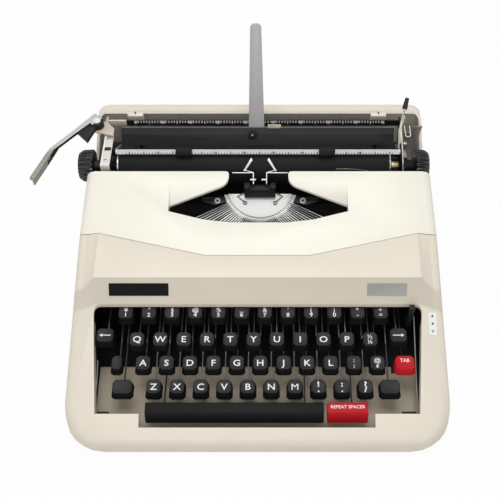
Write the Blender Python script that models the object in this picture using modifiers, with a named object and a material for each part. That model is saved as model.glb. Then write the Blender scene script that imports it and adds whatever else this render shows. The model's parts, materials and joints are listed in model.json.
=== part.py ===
# Manual portable typewriter, modelled as separate pieces in metres, +X right, +Y back, +Z up.
# Every piece is built in the machine's own coordinates: x = 0 on the middle of the casing,
# y = 0 at the front of the casing, z = 0 on the table. A root empty then moves the whole
# machine so that the world origin lies under the middle of its outline.

import math

import bmesh
import bpy
from mathutils import Matrix, Vector

# Running values
GAP = 0.0003
OVERRUN = 0.004

# Casing
CASING_HALF_WIDTH = 0.1575
CASING_DEPTH = 0.306
CASING_BOTTOM = 0.0085
WALL = 0.0025
FRONT_CORNER = 0.034
REAR_CORNER = 0.0042
SIDE_DRAFT = 0.07
SHOULDER_RADIUS = 0.008
RIM_WIDTH = 0.0235
FRONT_HEIGHT = 0.0160
RIDGE_RISE = 0.0040
RIDGE_DEPTH = 0.0027
WELL_REAR_SHARE = 0.45642
WELL_REAR_HEIGHT_SHARE = 0.66916
WELL_SIDE_HEIGHT_SHARE = 0.61215
CREASE_DEPTH_SHARE = 0.52294
CREASE_HEIGHT_SHARE = 0.83178
CREASE_SIDE_HEIGHT_SHARE = 0.68692
SEAM_SIDE_SHARE = 0.72248
SEAM_SIDE_HEIGHT_SHARE = 0.86449
BAY_DEPTH = 0.088
CASING_HEIGHT = 0.107
REAR_RIM = 0.007

# Keyboard well
WELL_HALF_WIDTH_REAR_SHARE = 0.85397
WELL_HALF_WIDTH_FRONT_SHARE = 0.82857
WELL_FRONT = 0.0215
NOTCH_FRONT = 0.0120
NOTCH_LEFT_SHARE = 0.60317
NOTCH_RIGHT_SHARE = 0.6
WELL_CORNER = 0.005
FLAP_ROUND = 0.0075
FLAP_REAR_ROUND = 0.0032
FLANGE_DEPTH = 0.009
FLANGE_END_SHARE = 0.41284

# Top cover
SEAM_GAP = 0.0006
SEAM_CENTRE_SHARE = 0.61789
SEAM_FLAT_SHARE = 0.27302
SEAM_BREAK_SHARE = 0.89524
COVER_SIDE_BOTTOM_SHARE = 0.73364
SEAM_LEAN = 0.75
GUIDE_GAP_HALF = 0.026
BASKET_HALF_SHARE = 0.48762
FLAP_CREASE_BACK = -0.0112
FLAP_SLOPE = 0.50
FLAP_INNER_END_BACK = -0.0126
FLAP_OUTER_END_BACK = -0.0304
BASKET_SIDE_BACK = -0.0408
BASKET_MID_BACK = -0.049
BASKET_MID_HALF_SHARE = 0.29841
BASKET_FRONT_BACK = -0.052
BASKET_FRONT_HALF = 0.0240
HINGE_Y_BACK = -0.0035
HINGE_Z_SHARE = 0.94206
HINGE_PIN_RADIUS = 0.0015

# Carriage bay in the casing
BAY_SIDE_HEIGHT_SHARE = 0.72897
BAY_SLOPE_START_BACK = 0.05

# Base tray
TRAY_BOTTOM = 0.0045
TRAY_FLOOR = 0.0020
TRAY_INSET = 0.0012
TRAY_WALL = 0.0025
FOOT_RADIUS = 0.009
FOOT_X_SHARE = 0.7746
FOOT_FRONT = 0.036
FOOT_REAR_BACK = 0.052
BOSS_RADIUS = 0.006
BOSS_INSET = 0.010

# Chassis
PLATE_X_SHARE = 0.88889
PLATE_THICKNESS = 0.0020
PLATE_FRONT = 0.026
PLATE_REAR_BACK = 0.074
PLATE_BOTTOM = 0.0120
PLATE_CLEAR = 0.0075
DECK_Z_SHARE = 0.59813
DECK_THICKNESS = 0.0020
DECK_FRONT_BACK = -0.058
DECK_REAR_BACK = -0.0005
REAR_DECK_Z_SHARE = 0.50467
REAR_DECK_FRONT_BACK = 0.008
REAR_DECK_REAR_BACK = 0.07
EAR_FRONT = 0.0055
EAR_REAR = 0.0026
EAR_RISE = 0.0005
LEVER_ROD_RADIUS = 0.0020
LEVER_ROD_Y_SHARE = 0.84404
LEVER_ROD_Z_SHARE = 0.48598

# Keyboard floor
FLOOR_FRONT = 0.0135
FLOOR_REAR_SHARE = 0.33028
FLOOR_HALF_WIDTH_SHARE = 0.84444
FLOOR_FRONT_HEIGHT = 0.0095
FLOOR_SLOPE = 0.18
FLOOR_THICKNESS = 0.0012
FLOOR_LEG = 0.006

# Character keys: rows from front to back
KEY_PITCH_SHARE = 0.12095
LEVER_THICKNESS = 0.0010
LEVER_HEIGHT = 0.0030
CAP_TOP_WIDTH_SHARE = 0.59843
CAP_TOP_DEPTH = 0.0118
CAP_BASE_WIDTH_SHARE = 0.72441
CAP_HEIGHT = 0.0075
CAP_FRONT_SETBACK = 0.0022
CAP_REAR_SETBACK = 0.0006
CAP_CORNER = 0.0022
CAP_DISH = 0.0006
CAP_TILT = math.radians(8)
BOTTOM_ROW_Y_SHARE = 0.19266
HOME_ROW_Y_SHARE = 0.27064
TOP_ROW_Y_SHARE = 0.34862
NUMBER_ROW_Y_SHARE = 0.43945
BOTTOM_ROW_Z_SHARE = 0.35981
HOME_ROW_Z_SHARE = 0.44393
TOP_ROW_Z_SHARE = 0.52804
NUMBER_ROW_Z_SHARE = 0.6215
BOTTOM_ROW_X_SHARE = 0.01079
HOME_ROW_X_SHARE = 0.01397
TOP_ROW_X_SHARE = -0.02095
NUMBER_ROW_X_SHARE = -0.02349
BOTTOM_ROW_KEYS = 10
NUMBER_ROW_KEYS = 12
BOTTOM_STEM = 0.0035
HOME_STEM = 0.0085
TOP_STEM = 0.005
NUMBER_STEM = 0.0022
NUMBER_ROD_Y_SHARE = 0.78899
NUMBER_ROD_Z_SHARE = 0.54206
BOTTOM_ROD_Y_SHARE = 0.89908
BOTTOM_ROD_Z_SHARE = 0.42991
HOOK_RADIUS = 0.0040

# Function keys
SHIFT_WIDTH_SHARE = 0.8189
SHIFT_LEFT_X_SHARE = -0.6946
SHIFT_RIGHT_X_SHARE = 0.68063
ARROW_WIDTH_SHARE = 0.69816
ARROW_Y_SHARE = 0.36468
ARROW_Z_SHARE = 0.53271
BACKSPACE_X_SHARE = -0.79365
MARGIN_RELEASE_X_SHARE = 0.73206
LOCK_X_SHARE = -0.72698
LOCK_WIDTH_SHARE = 0.41995
TAB_X_SHARE = 0.76063
TAB_WIDTH_SHARE = 0.7874

# Space bar and repeat spacer
SPACE_LEFT_SHARE = -0.57333
SPACE_RIGHT_SHARE = 0.33905
REPEAT_LEFT_SHARE = 0.35746
REPEAT_RIGHT_SHARE = 0.56508
SPACE_CREASE_Y_SHARE = 0.09862
SPACE_CREASE_Z_SHARE = 0.2972
SPACE_TOP_DEPTH_SHARE = 0.04037
SPACE_TOP_RISE = 0.0012
SPACE_FRONT_DROP = 0.0115
SPACE_FRONT_LEAN = 0.0030
SPACE_THICKNESS = 0.0060
SPACE_ARM_LEFT_SHARE = -0.48127
SPACE_ARM_RIGHT_SHARE = 0.24444
REPEAT_ARM_SHARE = 0.48635
ARM_BEND_Y_SHARE = 0.29358
ARM_BEND_Z_SHARE = 0.24486
ARM_FRONT_Z_SHARE = 0.21963

# Ribbon selector
SELECTOR_X_SHARE = 0.79746
SELECTOR_WIDTH = 0.0042
SELECTOR_KNOB_Y_SHARE = 0.4289
SELECTOR_KNOB_Z_SHARE = 0.7243
SELECTOR_PIVOT_Y_SHARE = 0.68807
SELECTOR_PIVOT_Z_SHARE = 0.39252

# Type segment and type bars
SEGMENT_TILT = math.radians(25)
SEGMENT_TOP_Y_BACK = -0.0066
SEGMENT_TOP_Z_SHARE = 0.79626
SEGMENT_HALF_CHORD = 0.0285
SEGMENT_SAGITTA = 0.0217
SEGMENT_PLATE = 0.0020
SEGMENT_BODY_RADIUS = 0.0330
SEGMENT_BODY_DEPTH = 0.0070
SEGMENT_LEG_WIDTH = 0.0300
WING_INNER = 0.0280
WING_OUTER = 0.0520
WING_DEPTH = 0.0090
WING_THICKNESS = 0.0015
WING_LIFT = 0.0030
TYPE_BARS = 44
TYPE_FAN = math.radians(120)
TYPE_SPREAD = 1.1
TYPE_BAR_WIDTH = 0.0009
TYPE_BAR_HEIGHT = 0.0022
TYPE_REST_HALF_SHARE = 0.46984
TYPE_REST_DEPTH = 0.0600
TYPE_REST_Y_BACK = -0.014
TYPE_REST_Z_SHARE = 0.74766

# Type guide
GUIDE_X = 0.0012
GUIDE_FRONT_BACK = -0.012
GUIDE_REAR_BACK = -0.0055
GUIDE_BOTTOM_SHARE = 0.80561
GUIDE_TOP_SHARE = 0.92056
GUIDE_HALF = 0.0137
PRONG_FOOT_HALF = 0.0058
PRONG_HALF_LOW = 0.0136
PRONG_HALF_HIGH = 0.0074
PRONG_RADIUS = 0.0008
PRONG_LOW_ANGLE = math.radians(33)
PRONG_HIGH_ANGLE = math.radians(66)
PRONG_OFFSET = 0.0016
PRONG_STEP_ANGLE = math.radians(26)
PRONG_STEP_OFFSET = 0.0035
PRONG_SIDE_HALF = 0.0244

# Ribbon spools
SPOOL_X_SHARE = 0.66667
SPOOL_Y_BACK = -0.0295
SPOOL_RADIUS = 0.0235
SPOOL_HEIGHT = 0.0150
SPOOL_FLANGE = 0.0010
SPOOL_RIBBON_RADIUS = 0.0190

# Carriage
PLATEN_Y_BACK = 0.019
PLATEN_Z_SHARE = 0.88785
PLATEN_RADIUS = 0.0160
PLATEN_LEFT_SHARE = -0.7873
PLATEN_RIGHT_SHARE = 0.73397
SHAFT_RADIUS = 0.0030
KNOB_RADIUS = 0.0147
KNOB_LEFT_INNER_SHARE = -0.93524
KNOB_LEFT_OUTER_SHARE = -1.01905
KNOB_RIGHT_INNER_SHARE = 0.88635
KNOB_RIGHT_OUTER_SHARE = 0.9619
KNOB_FLUTES = 18
KNOB_FLUTE_DEPTH = 0.0009
KNOB_END_RADIUS = 0.0118
KNOB_LIP_SHARE = 0.08
KNOB_TAPER_SHARE = 0.72
END_PLATE_LEFT_SHARE = -0.88762
END_PLATE_RIGHT_SHARE = 0.8127
END_PLATE = 0.0016
END_PLATE_FRONT = -0.0115
END_PLATE_LOW = -0.0108
END_PLATE_HIGH = 0.008
END_PLATE_MID = 0.013
END_PLATE_REAR = 0.0470
END_PLATE_REAR_HIGH = 0.0185
END_PLATE_RACK_HIGH = 0.0165
END_PLATE_REAR_LOW = 0.008
BEAM_FRONT = 0.023
BEAM_REAR = 0.035
BEAM_BOTTOM = -0.0108
BEAM_TOP = -0.004
RAIL_FRONT_BACK = 0.041
RAIL_DEPTH = 0.0110
RAIL_HEIGHT = 0.0080
RACK_Y = 0.0447
RACK_DEPTH = 0.0014
RACK_BOTTOM = 0.0082
RACK_TOP = 0.0143
RATCHET_LEFT_SHARE = -0.86476
RATCHET_WIDTH = 0.0040
RATCHET_RADIUS = 0.0125
RATCHET_TEETH = 24
RATCHET_TOOTH = 0.0013
PAWL_COVER_WIDTH = 0.0088
PAWL_COVER_FRONT = -0.0145
PAWL_COVER_REAR = 0.0240
PAWL_COVER_Z = 0.0136
PAWL_COVER_THICKNESS = 0.0009
PAWL_COVER_DROP = 0.0090
FEED_RADIUS = 0.0040
FEED_ANGLE = math.radians(-33)
FEED_PIN_RADIUS = 0.0015
TABLE_LOW_Y = 0.0165
TABLE_LOW_Z = 0.0095
TABLE_BEND_Y = 0.0242
TABLE_BEND_Z = 0.0162
TABLE_TOP_Y = 0.0266
TABLE_TOP_Z = 0.0219
TABLE_THICKNESS = 0.0010
TABLE_LEG_SHARE = 0.87
TABLE_LEFT_SHARE = -0.7873
TABLE_RIGHT_SHARE = 0.77143
ARM_PIVOT_X = -0.0022
ARM_PIVOT_LIFT = 0.0025
ARM_LENGTH = 0.0963
ARM_BASE_WIDTH = 0.0142
ARM_TIP_WIDTH = 0.0095
ARM_THICKNESS = 0.0012
BAIL_ANGLE = math.radians(81)
BAIL_ROLLER_RADIUS = 0.0042
BAIL_ROLLER_WIDTH = 0.0142
BAIL_ROLLER_LEFT_SHARE = -0.41651
BAIL_ROLLER_RIGHT_SHARE = 0.38032
BAIL_BORE = 0.0025
BAIL_STRIP = 0.0042
BAIL_STRIP_THICKNESS = 0.0010
BAIL_STRIP_TILT = math.radians(45)
BAIL_LEFT_SHARE = -0.79873
BAIL_RIGHT_SHARE = 0.79048
BAIL_ARM = 0.0014
BAIL_ARM_WIDTH = 0.0036
BAIL_PIVOT_Y = 0.021
BAIL_PIVOT_Z = 0.0035

# Levers of the carriage
RETURN_PIVOT_X_SHARE = -0.92698
RETURN_PIVOT_Y = 0.032
RETURN_BRACKET_Z = 0.0185
RETURN_BRACKET = 0.0016
RETURN_ARM_Z = 0.0215
RETURN_ARM_THICKNESS = 0.0030
RETURN_ARM_WIDTH = 0.0042
RETURN_HUB = 0.0060
RETURN_TAIL_X_SHARE = -0.93206
RETURN_TAIL_Y = 0.041
RETURN_BEND_X_SHARE = -1.15238
RETURN_BEND_Y = -0.0045
RETURN_TIP_X_SHARE = -1.22222
RETURN_TIP_Y = -0.0395
RETURN_TAIL_WIDTH_SHARE = 1.45
RETURN_WEB_SHARE = 0.45
RETURN_WEB_X_SHARE = -0.96571
RETURN_WEB_Y = 0.0089
RETURN_SKIRT = 0.0070
RETURN_SKIRT_THICKNESS = 0.0014
RETURN_SKIRT_SHARE = 0.3
RELEASE_X_SHARE = 0.8019
RELEASE_PIVOT_Y = 0.013
RELEASE_PIVOT_Z = 0.004
RELEASE_KINK_Y = 0.025
RELEASE_KINK_Z = 0.02
RELEASE_TOP_X_SHARE = 0.83556
RELEASE_TOP_Y = 0.042
RELEASE_TOP_Z = 0.0315
RELEASE_WIRE = 0.0008
RELEASE_CAP_RADIUS = 0.0024
RELEASE_CAP_LENGTH = 0.0100
CARRIAGE_RELEASE_LEFT_SHARE = 0.82667
CARRIAGE_RELEASE_RIGHT_SHARE = 0.93016
CARRIAGE_RELEASE_Y = 0.033
CARRIAGE_RELEASE_Z = 0.009
CARRIAGE_RELEASE_DEPTH = 0.0080
CARRIAGE_RELEASE_RISE = 0.0150
CARRIAGE_RELEASE_DROP = 0.0065
CARRIAGE_RELEASE_THICKNESS = 0.0014

# Margin stops
STOP_WIDTH = 0.0141
STOP_DEPTH = 0.0046
STOP_HEIGHT = 0.0064
STOP_HOOK = 0.0026
STOP_LEFT_X_SHARE = -0.71746
STOP_RIGHT_X_SHARE = 0.69206
STOP_LIP = 0.0010

# Mainspring drum
DRUM_X_SHARE = -0.57143
DRUM_Y_BACK = 0.039
DRUM_RADIUS = 0.0230
DRUM_HEIGHT = 0.0110
DRUM_GROOVE = 0.0012

# Values that follow from the casing's width, depth and height

COVER_REAR = CASING_DEPTH - BAY_DEPTH
WELL_REAR = COVER_REAR * WELL_REAR_SHARE
WELL_REAR_HEIGHT = CASING_HEIGHT * WELL_REAR_HEIGHT_SHARE
WELL_SIDE_HEIGHT = CASING_HEIGHT * WELL_SIDE_HEIGHT_SHARE
CREASE_DEPTH = COVER_REAR * CREASE_DEPTH_SHARE
CREASE_HEIGHT = CASING_HEIGHT * CREASE_HEIGHT_SHARE
CREASE_SIDE_HEIGHT = CASING_HEIGHT * CREASE_SIDE_HEIGHT_SHARE
SEAM_SIDE = COVER_REAR * SEAM_SIDE_SHARE
SEAM_SIDE_HEIGHT = CASING_HEIGHT * SEAM_SIDE_HEIGHT_SHARE
WELL_HALF_WIDTH_REAR = CASING_HALF_WIDTH * WELL_HALF_WIDTH_REAR_SHARE
WELL_HALF_WIDTH_FRONT = CASING_HALF_WIDTH * WELL_HALF_WIDTH_FRONT_SHARE
NOTCH_LEFT = CASING_HALF_WIDTH * NOTCH_LEFT_SHARE
NOTCH_RIGHT = CASING_HALF_WIDTH * NOTCH_RIGHT_SHARE
FLANGE_END = COVER_REAR * FLANGE_END_SHARE
SEAM_CENTRE = COVER_REAR * SEAM_CENTRE_SHARE
SEAM_FLAT = CASING_HALF_WIDTH * SEAM_FLAT_SHARE
SEAM_BREAK = CASING_HALF_WIDTH * SEAM_BREAK_SHARE
COVER_SIDE_BOTTOM = CASING_HEIGHT * COVER_SIDE_BOTTOM_SHARE
BASKET_HALF = CASING_HALF_WIDTH * BASKET_HALF_SHARE
FLAP_CREASE = COVER_REAR + FLAP_CREASE_BACK
FLAP_INNER_END = COVER_REAR + FLAP_INNER_END_BACK
FLAP_OUTER_END = COVER_REAR + FLAP_OUTER_END_BACK
BASKET_SIDE = COVER_REAR + BASKET_SIDE_BACK
BASKET_MID = COVER_REAR + BASKET_MID_BACK
BASKET_MID_HALF = CASING_HALF_WIDTH * BASKET_MID_HALF_SHARE
BASKET_FRONT = COVER_REAR + BASKET_FRONT_BACK
HINGE_Y = COVER_REAR + HINGE_Y_BACK
HINGE_Z = CASING_HEIGHT * HINGE_Z_SHARE
BAY_SIDE_HEIGHT = CASING_HEIGHT * BAY_SIDE_HEIGHT_SHARE
BAY_SLOPE_START = COVER_REAR + BAY_SLOPE_START_BACK
FOOT_X = CASING_HALF_WIDTH * FOOT_X_SHARE
FOOT_REAR = COVER_REAR + FOOT_REAR_BACK
PLATE_X = CASING_HALF_WIDTH * PLATE_X_SHARE
PLATE_REAR = COVER_REAR + PLATE_REAR_BACK
DECK_Z = CASING_HEIGHT * DECK_Z_SHARE
DECK_FRONT = COVER_REAR + DECK_FRONT_BACK
DECK_REAR = COVER_REAR + DECK_REAR_BACK
REAR_DECK_Z = CASING_HEIGHT * REAR_DECK_Z_SHARE
REAR_DECK_FRONT = COVER_REAR + REAR_DECK_FRONT_BACK
REAR_DECK_REAR = COVER_REAR + REAR_DECK_REAR_BACK
LEVER_ROD_Y = COVER_REAR * LEVER_ROD_Y_SHARE
LEVER_ROD_Z = CASING_HEIGHT * LEVER_ROD_Z_SHARE
FLOOR_REAR = COVER_REAR * FLOOR_REAR_SHARE
FLOOR_HALF_WIDTH = CASING_HALF_WIDTH * FLOOR_HALF_WIDTH_SHARE
KEY_PITCH = CASING_HALF_WIDTH * KEY_PITCH_SHARE
CAP_TOP_WIDTH = KEY_PITCH * CAP_TOP_WIDTH_SHARE
CAP_BASE_WIDTH = KEY_PITCH * CAP_BASE_WIDTH_SHARE
BOTTOM_ROW_Y = COVER_REAR * BOTTOM_ROW_Y_SHARE
HOME_ROW_Y = COVER_REAR * HOME_ROW_Y_SHARE
TOP_ROW_Y = COVER_REAR * TOP_ROW_Y_SHARE
NUMBER_ROW_Y = COVER_REAR * NUMBER_ROW_Y_SHARE
BOTTOM_ROW_Z = CASING_HEIGHT * BOTTOM_ROW_Z_SHARE
HOME_ROW_Z = CASING_HEIGHT * HOME_ROW_Z_SHARE
TOP_ROW_Z = CASING_HEIGHT * TOP_ROW_Z_SHARE
NUMBER_ROW_Z = CASING_HEIGHT * NUMBER_ROW_Z_SHARE
BOTTOM_ROW_X = CASING_HALF_WIDTH * BOTTOM_ROW_X_SHARE
HOME_ROW_X = CASING_HALF_WIDTH * HOME_ROW_X_SHARE
TOP_ROW_X = CASING_HALF_WIDTH * TOP_ROW_X_SHARE
NUMBER_ROW_X = CASING_HALF_WIDTH * NUMBER_ROW_X_SHARE
BOTTOM_STEM_DROP = CAP_HEIGHT + BOTTOM_STEM
HOME_STEM_DROP = CAP_HEIGHT + HOME_STEM
TOP_STEM_DROP = CAP_HEIGHT + TOP_STEM
NUMBER_STEM_DROP = CAP_HEIGHT + NUMBER_STEM
NUMBER_ROD_Y = COVER_REAR * NUMBER_ROD_Y_SHARE
NUMBER_ROD_Z = CASING_HEIGHT * NUMBER_ROD_Z_SHARE
BOTTOM_ROD_Y = COVER_REAR * BOTTOM_ROD_Y_SHARE
BOTTOM_ROD_Z = CASING_HEIGHT * BOTTOM_ROD_Z_SHARE
SHIFT_WIDTH = KEY_PITCH * SHIFT_WIDTH_SHARE
SHIFT_LEFT_X = CASING_HALF_WIDTH * SHIFT_LEFT_X_SHARE
SHIFT_RIGHT_X = CASING_HALF_WIDTH * SHIFT_RIGHT_X_SHARE
ARROW_WIDTH = KEY_PITCH * ARROW_WIDTH_SHARE
ARROW_Y = COVER_REAR * ARROW_Y_SHARE
ARROW_Z = CASING_HEIGHT * ARROW_Z_SHARE
BACKSPACE_X = CASING_HALF_WIDTH * BACKSPACE_X_SHARE
MARGIN_RELEASE_X = CASING_HALF_WIDTH * MARGIN_RELEASE_X_SHARE
LOCK_X = CASING_HALF_WIDTH * LOCK_X_SHARE
LOCK_WIDTH = KEY_PITCH * LOCK_WIDTH_SHARE
TAB_X = CASING_HALF_WIDTH * TAB_X_SHARE
TAB_WIDTH = KEY_PITCH * TAB_WIDTH_SHARE
SPACE_LEFT = CASING_HALF_WIDTH * SPACE_LEFT_SHARE
SPACE_RIGHT = CASING_HALF_WIDTH * SPACE_RIGHT_SHARE
REPEAT_LEFT = CASING_HALF_WIDTH * REPEAT_LEFT_SHARE
REPEAT_RIGHT = CASING_HALF_WIDTH * REPEAT_RIGHT_SHARE
SPACE_CREASE_Y = COVER_REAR * SPACE_CREASE_Y_SHARE
SPACE_CREASE_Z = CASING_HEIGHT * SPACE_CREASE_Z_SHARE
SPACE_TOP_DEPTH = COVER_REAR * SPACE_TOP_DEPTH_SHARE
SPACE_ARM_LEFT = CASING_HALF_WIDTH * SPACE_ARM_LEFT_SHARE
SPACE_ARM_RIGHT = CASING_HALF_WIDTH * SPACE_ARM_RIGHT_SHARE
REPEAT_ARM = CASING_HALF_WIDTH * REPEAT_ARM_SHARE
ARM_BEND_Y = COVER_REAR * ARM_BEND_Y_SHARE
ARM_BEND_Z = CASING_HEIGHT * ARM_BEND_Z_SHARE
ARM_FRONT_Z = CASING_HEIGHT * ARM_FRONT_Z_SHARE
SELECTOR_X = CASING_HALF_WIDTH * SELECTOR_X_SHARE
SELECTOR_KNOB_Y = COVER_REAR * SELECTOR_KNOB_Y_SHARE
SELECTOR_KNOB_Z = CASING_HEIGHT * SELECTOR_KNOB_Z_SHARE
SELECTOR_PIVOT_Y = COVER_REAR * SELECTOR_PIVOT_Y_SHARE
SELECTOR_PIVOT_Z = CASING_HEIGHT * SELECTOR_PIVOT_Z_SHARE
SEGMENT_TOP_Y = COVER_REAR + SEGMENT_TOP_Y_BACK
SEGMENT_TOP_Z = CASING_HEIGHT * SEGMENT_TOP_Z_SHARE
TYPE_REST_HALF = CASING_HALF_WIDTH * TYPE_REST_HALF_SHARE
TYPE_REST_Y = COVER_REAR + TYPE_REST_Y_BACK
TYPE_REST_Z = CASING_HEIGHT * TYPE_REST_Z_SHARE
GUIDE_FRONT = COVER_REAR + GUIDE_FRONT_BACK
GUIDE_REAR = COVER_REAR + GUIDE_REAR_BACK
GUIDE_BOTTOM = CASING_HEIGHT * GUIDE_BOTTOM_SHARE
GUIDE_TOP = CASING_HEIGHT * GUIDE_TOP_SHARE
SPOOL_X = CASING_HALF_WIDTH * SPOOL_X_SHARE
SPOOL_Y = COVER_REAR + SPOOL_Y_BACK
PLATEN_Y = COVER_REAR + PLATEN_Y_BACK
PLATEN_Z = CASING_HEIGHT * PLATEN_Z_SHARE
PLATEN_LEFT = CASING_HALF_WIDTH * PLATEN_LEFT_SHARE
PLATEN_RIGHT = CASING_HALF_WIDTH * PLATEN_RIGHT_SHARE
KNOB_LEFT_INNER = CASING_HALF_WIDTH * KNOB_LEFT_INNER_SHARE
KNOB_LEFT_OUTER = CASING_HALF_WIDTH * KNOB_LEFT_OUTER_SHARE
KNOB_RIGHT_INNER = CASING_HALF_WIDTH * KNOB_RIGHT_INNER_SHARE
KNOB_RIGHT_OUTER = CASING_HALF_WIDTH * KNOB_RIGHT_OUTER_SHARE
END_PLATE_LEFT = CASING_HALF_WIDTH * END_PLATE_LEFT_SHARE
END_PLATE_RIGHT = CASING_HALF_WIDTH * END_PLATE_RIGHT_SHARE
RAIL_FRONT = COVER_REAR + RAIL_FRONT_BACK
RATCHET_LEFT = CASING_HALF_WIDTH * RATCHET_LEFT_SHARE
TABLE_LEFT = CASING_HALF_WIDTH * TABLE_LEFT_SHARE
TABLE_RIGHT = CASING_HALF_WIDTH * TABLE_RIGHT_SHARE
BAIL_ROLLER_LEFT = CASING_HALF_WIDTH * BAIL_ROLLER_LEFT_SHARE
BAIL_ROLLER_RIGHT = CASING_HALF_WIDTH * BAIL_ROLLER_RIGHT_SHARE
BAIL_LEFT = CASING_HALF_WIDTH * BAIL_LEFT_SHARE
BAIL_RIGHT = CASING_HALF_WIDTH * BAIL_RIGHT_SHARE
RETURN_PIVOT_X = CASING_HALF_WIDTH * RETURN_PIVOT_X_SHARE
RETURN_TAIL_X = CASING_HALF_WIDTH * RETURN_TAIL_X_SHARE
RETURN_BEND_X = CASING_HALF_WIDTH * RETURN_BEND_X_SHARE
RETURN_TIP_X = CASING_HALF_WIDTH * RETURN_TIP_X_SHARE
RETURN_WEB_X = CASING_HALF_WIDTH * RETURN_WEB_X_SHARE
RELEASE_X = CASING_HALF_WIDTH * RELEASE_X_SHARE
RELEASE_TOP_X = CASING_HALF_WIDTH * RELEASE_TOP_X_SHARE
CARRIAGE_RELEASE_LEFT = CASING_HALF_WIDTH * CARRIAGE_RELEASE_LEFT_SHARE
CARRIAGE_RELEASE_RIGHT = CASING_HALF_WIDTH * CARRIAGE_RELEASE_RIGHT_SHARE
STOP_LEFT_X = CASING_HALF_WIDTH * STOP_LEFT_X_SHARE
STOP_RIGHT_X = CASING_HALF_WIDTH * STOP_RIGHT_X_SHARE
DRUM_X = CASING_HALF_WIDTH * DRUM_X_SHARE
DRUM_Y = COVER_REAR + DRUM_Y_BACK

# Centre of the outline over everything, from the pieces that reach furthest
OUTLINE_LEFT = RETURN_TIP_X - RETURN_ARM_WIDTH / 2
OUTLINE_RIGHT = CASING_HALF_WIDTH
CENTRE_X = (OUTLINE_LEFT + OUTLINE_RIGHT) / 2
CENTRE_Y = CASING_DEPTH / 2


# Scene and collections
for old in list(bpy.data.objects):
    bpy.data.objects.remove(old, do_unlink=True)

parts = bpy.data.collections.new("typewriter")
cutters = bpy.data.collections.new("cutters")
bpy.context.scene.collection.children.link(parts)
bpy.context.scene.collection.children.link(cutters)

root = bpy.data.objects.new("typewriter_frame", None)
root.location = (-CENTRE_X, -CENTRE_Y, 0)
parts.objects.link(root)


def finish(name, colour, roughness, metallic):
    """A plain material for one piece."""
    material = bpy.data.materials.new(name)
    material.use_nodes = True
    shader = material.node_tree.nodes["Principled BSDF"]
    shader.inputs["Base Color"].default_value = (*colour, 1)
    shader.inputs["Roughness"].default_value = roughness
    shader.inputs["Metallic"].default_value = metallic
    return material


IVORY = finish("ivory_plastic", (0.89, 0.87, 0.78), 0.45, 0)
BEIGE = finish("beige_plastic", (0.77, 0.71, 0.60), 0.50, 0)
TAN = finish("tan_plastic", (0.42, 0.37, 0.29), 0.55, 0)
BLACK = finish("black_plastic", (0.012, 0.012, 0.013), 0.35, 0)
RED = finish("red_plastic", (0.56, 0.01, 0.02), 0.35, 0)
CREAM = finish("cream_plastic", (0.75, 0.70, 0.60), 0.45, 0)
RUBBER = finish("black_rubber", (0.02, 0.02, 0.02), 0.75, 0)
STEEL = finish("bright_steel", (0.70, 0.70, 0.70), 0.25, 1)
GREY = finish("grey_plastic", (0.36, 0.36, 0.36), 0.45, 0)
PAINT = finish("black_paint", (0.03, 0.03, 0.03), 0.4, 0.1)


# Basic shapes, all in machine coordinates

def new_object(name, mesh):
    thing = bpy.data.objects.new(name, mesh)
    cutters.objects.link(thing)
    thing.hide_render = True
    thing.display_type = "WIRE"
    return thing


def from_bmesh(name, shape):
    mesh = bpy.data.meshes.new(name)
    bmesh.ops.recalc_face_normals(shape, faces=shape.faces)
    shape.to_mesh(mesh)
    shape.free()
    return new_object(name, mesh)


def box(name, low, high):
    """A block between two corners."""
    shape = bmesh.new()
    bmesh.ops.create_cube(shape, size=1)
    middle = (Vector(low) + Vector(high)) / 2
    size = Vector(high) - Vector(low)
    for vertex in shape.verts:
        vertex.co = Vector(a * b for a, b in zip(vertex.co, size)) + middle
    return from_bmesh(name, shape)


def rod(name, start, end, radius, sides=12, end_radius=None):
    """A round bar between two points, tapered when end_radius is given."""
    start = Vector(start)
    axis = Vector(end) - start
    shape = bmesh.new()
    bmesh.ops.create_cone(shape, cap_ends=True, segments=sides, radius1=radius,
                          radius2=radius if end_radius is None else end_radius, depth=axis.length)
    turn = Vector((0, 0, 1)).rotation_difference(axis).to_matrix().to_4x4()
    place = Matrix.Translation(start + axis / 2) @ turn
    bmesh.ops.transform(shape, matrix=place, verts=shape.verts)
    return from_bmesh(name, shape)


def loft(name, rings):
    """A closed skin over rings that have the same number of points."""
    shape = bmesh.new()
    loops = [[shape.verts.new(point) for point in ring] for ring in rings]
    count = len(rings[0])
    for first, second in zip(loops, loops[1:]):
        for i in range(count):
            j = (i + 1) % count
            shape.faces.new((first[i], first[j], second[j], second[i]))
    shape.faces.new(loops[0])
    shape.faces.new(loops[-1])
    return from_bmesh(name, shape)


AXES = {
    "x": Matrix(((0, 0, 1, 0), (1, 0, 0, 0), (0, 1, 0, 0), (0, 0, 0, 1))),
    "z": Matrix.Identity(4),
}


def slab(name, outline, low, high, along="z"):
    """A flat outline, drawn as (y, z) along x or (x, y) along z, drawn out from low to high."""
    curve = bpy.data.curves.new(name, "CURVE")
    curve.dimensions = "2D"
    curve.fill_mode = "BOTH"
    curve.extrude = (high - low) / 2
    line = curve.splines.new("POLY")
    line.points.add(len(outline) - 1)
    for point, (u, v) in zip(line.points, outline):
        point.co = (u, v, 0, 1)
    line.use_cyclic_u = True
    holder = bpy.data.objects.new(name, curve)
    cutters.objects.link(holder)
    shift = Matrix.Translation((0, 0, (low + high) / 2))
    return to_mesh(holder, AXES[along] @ shift)


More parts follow.
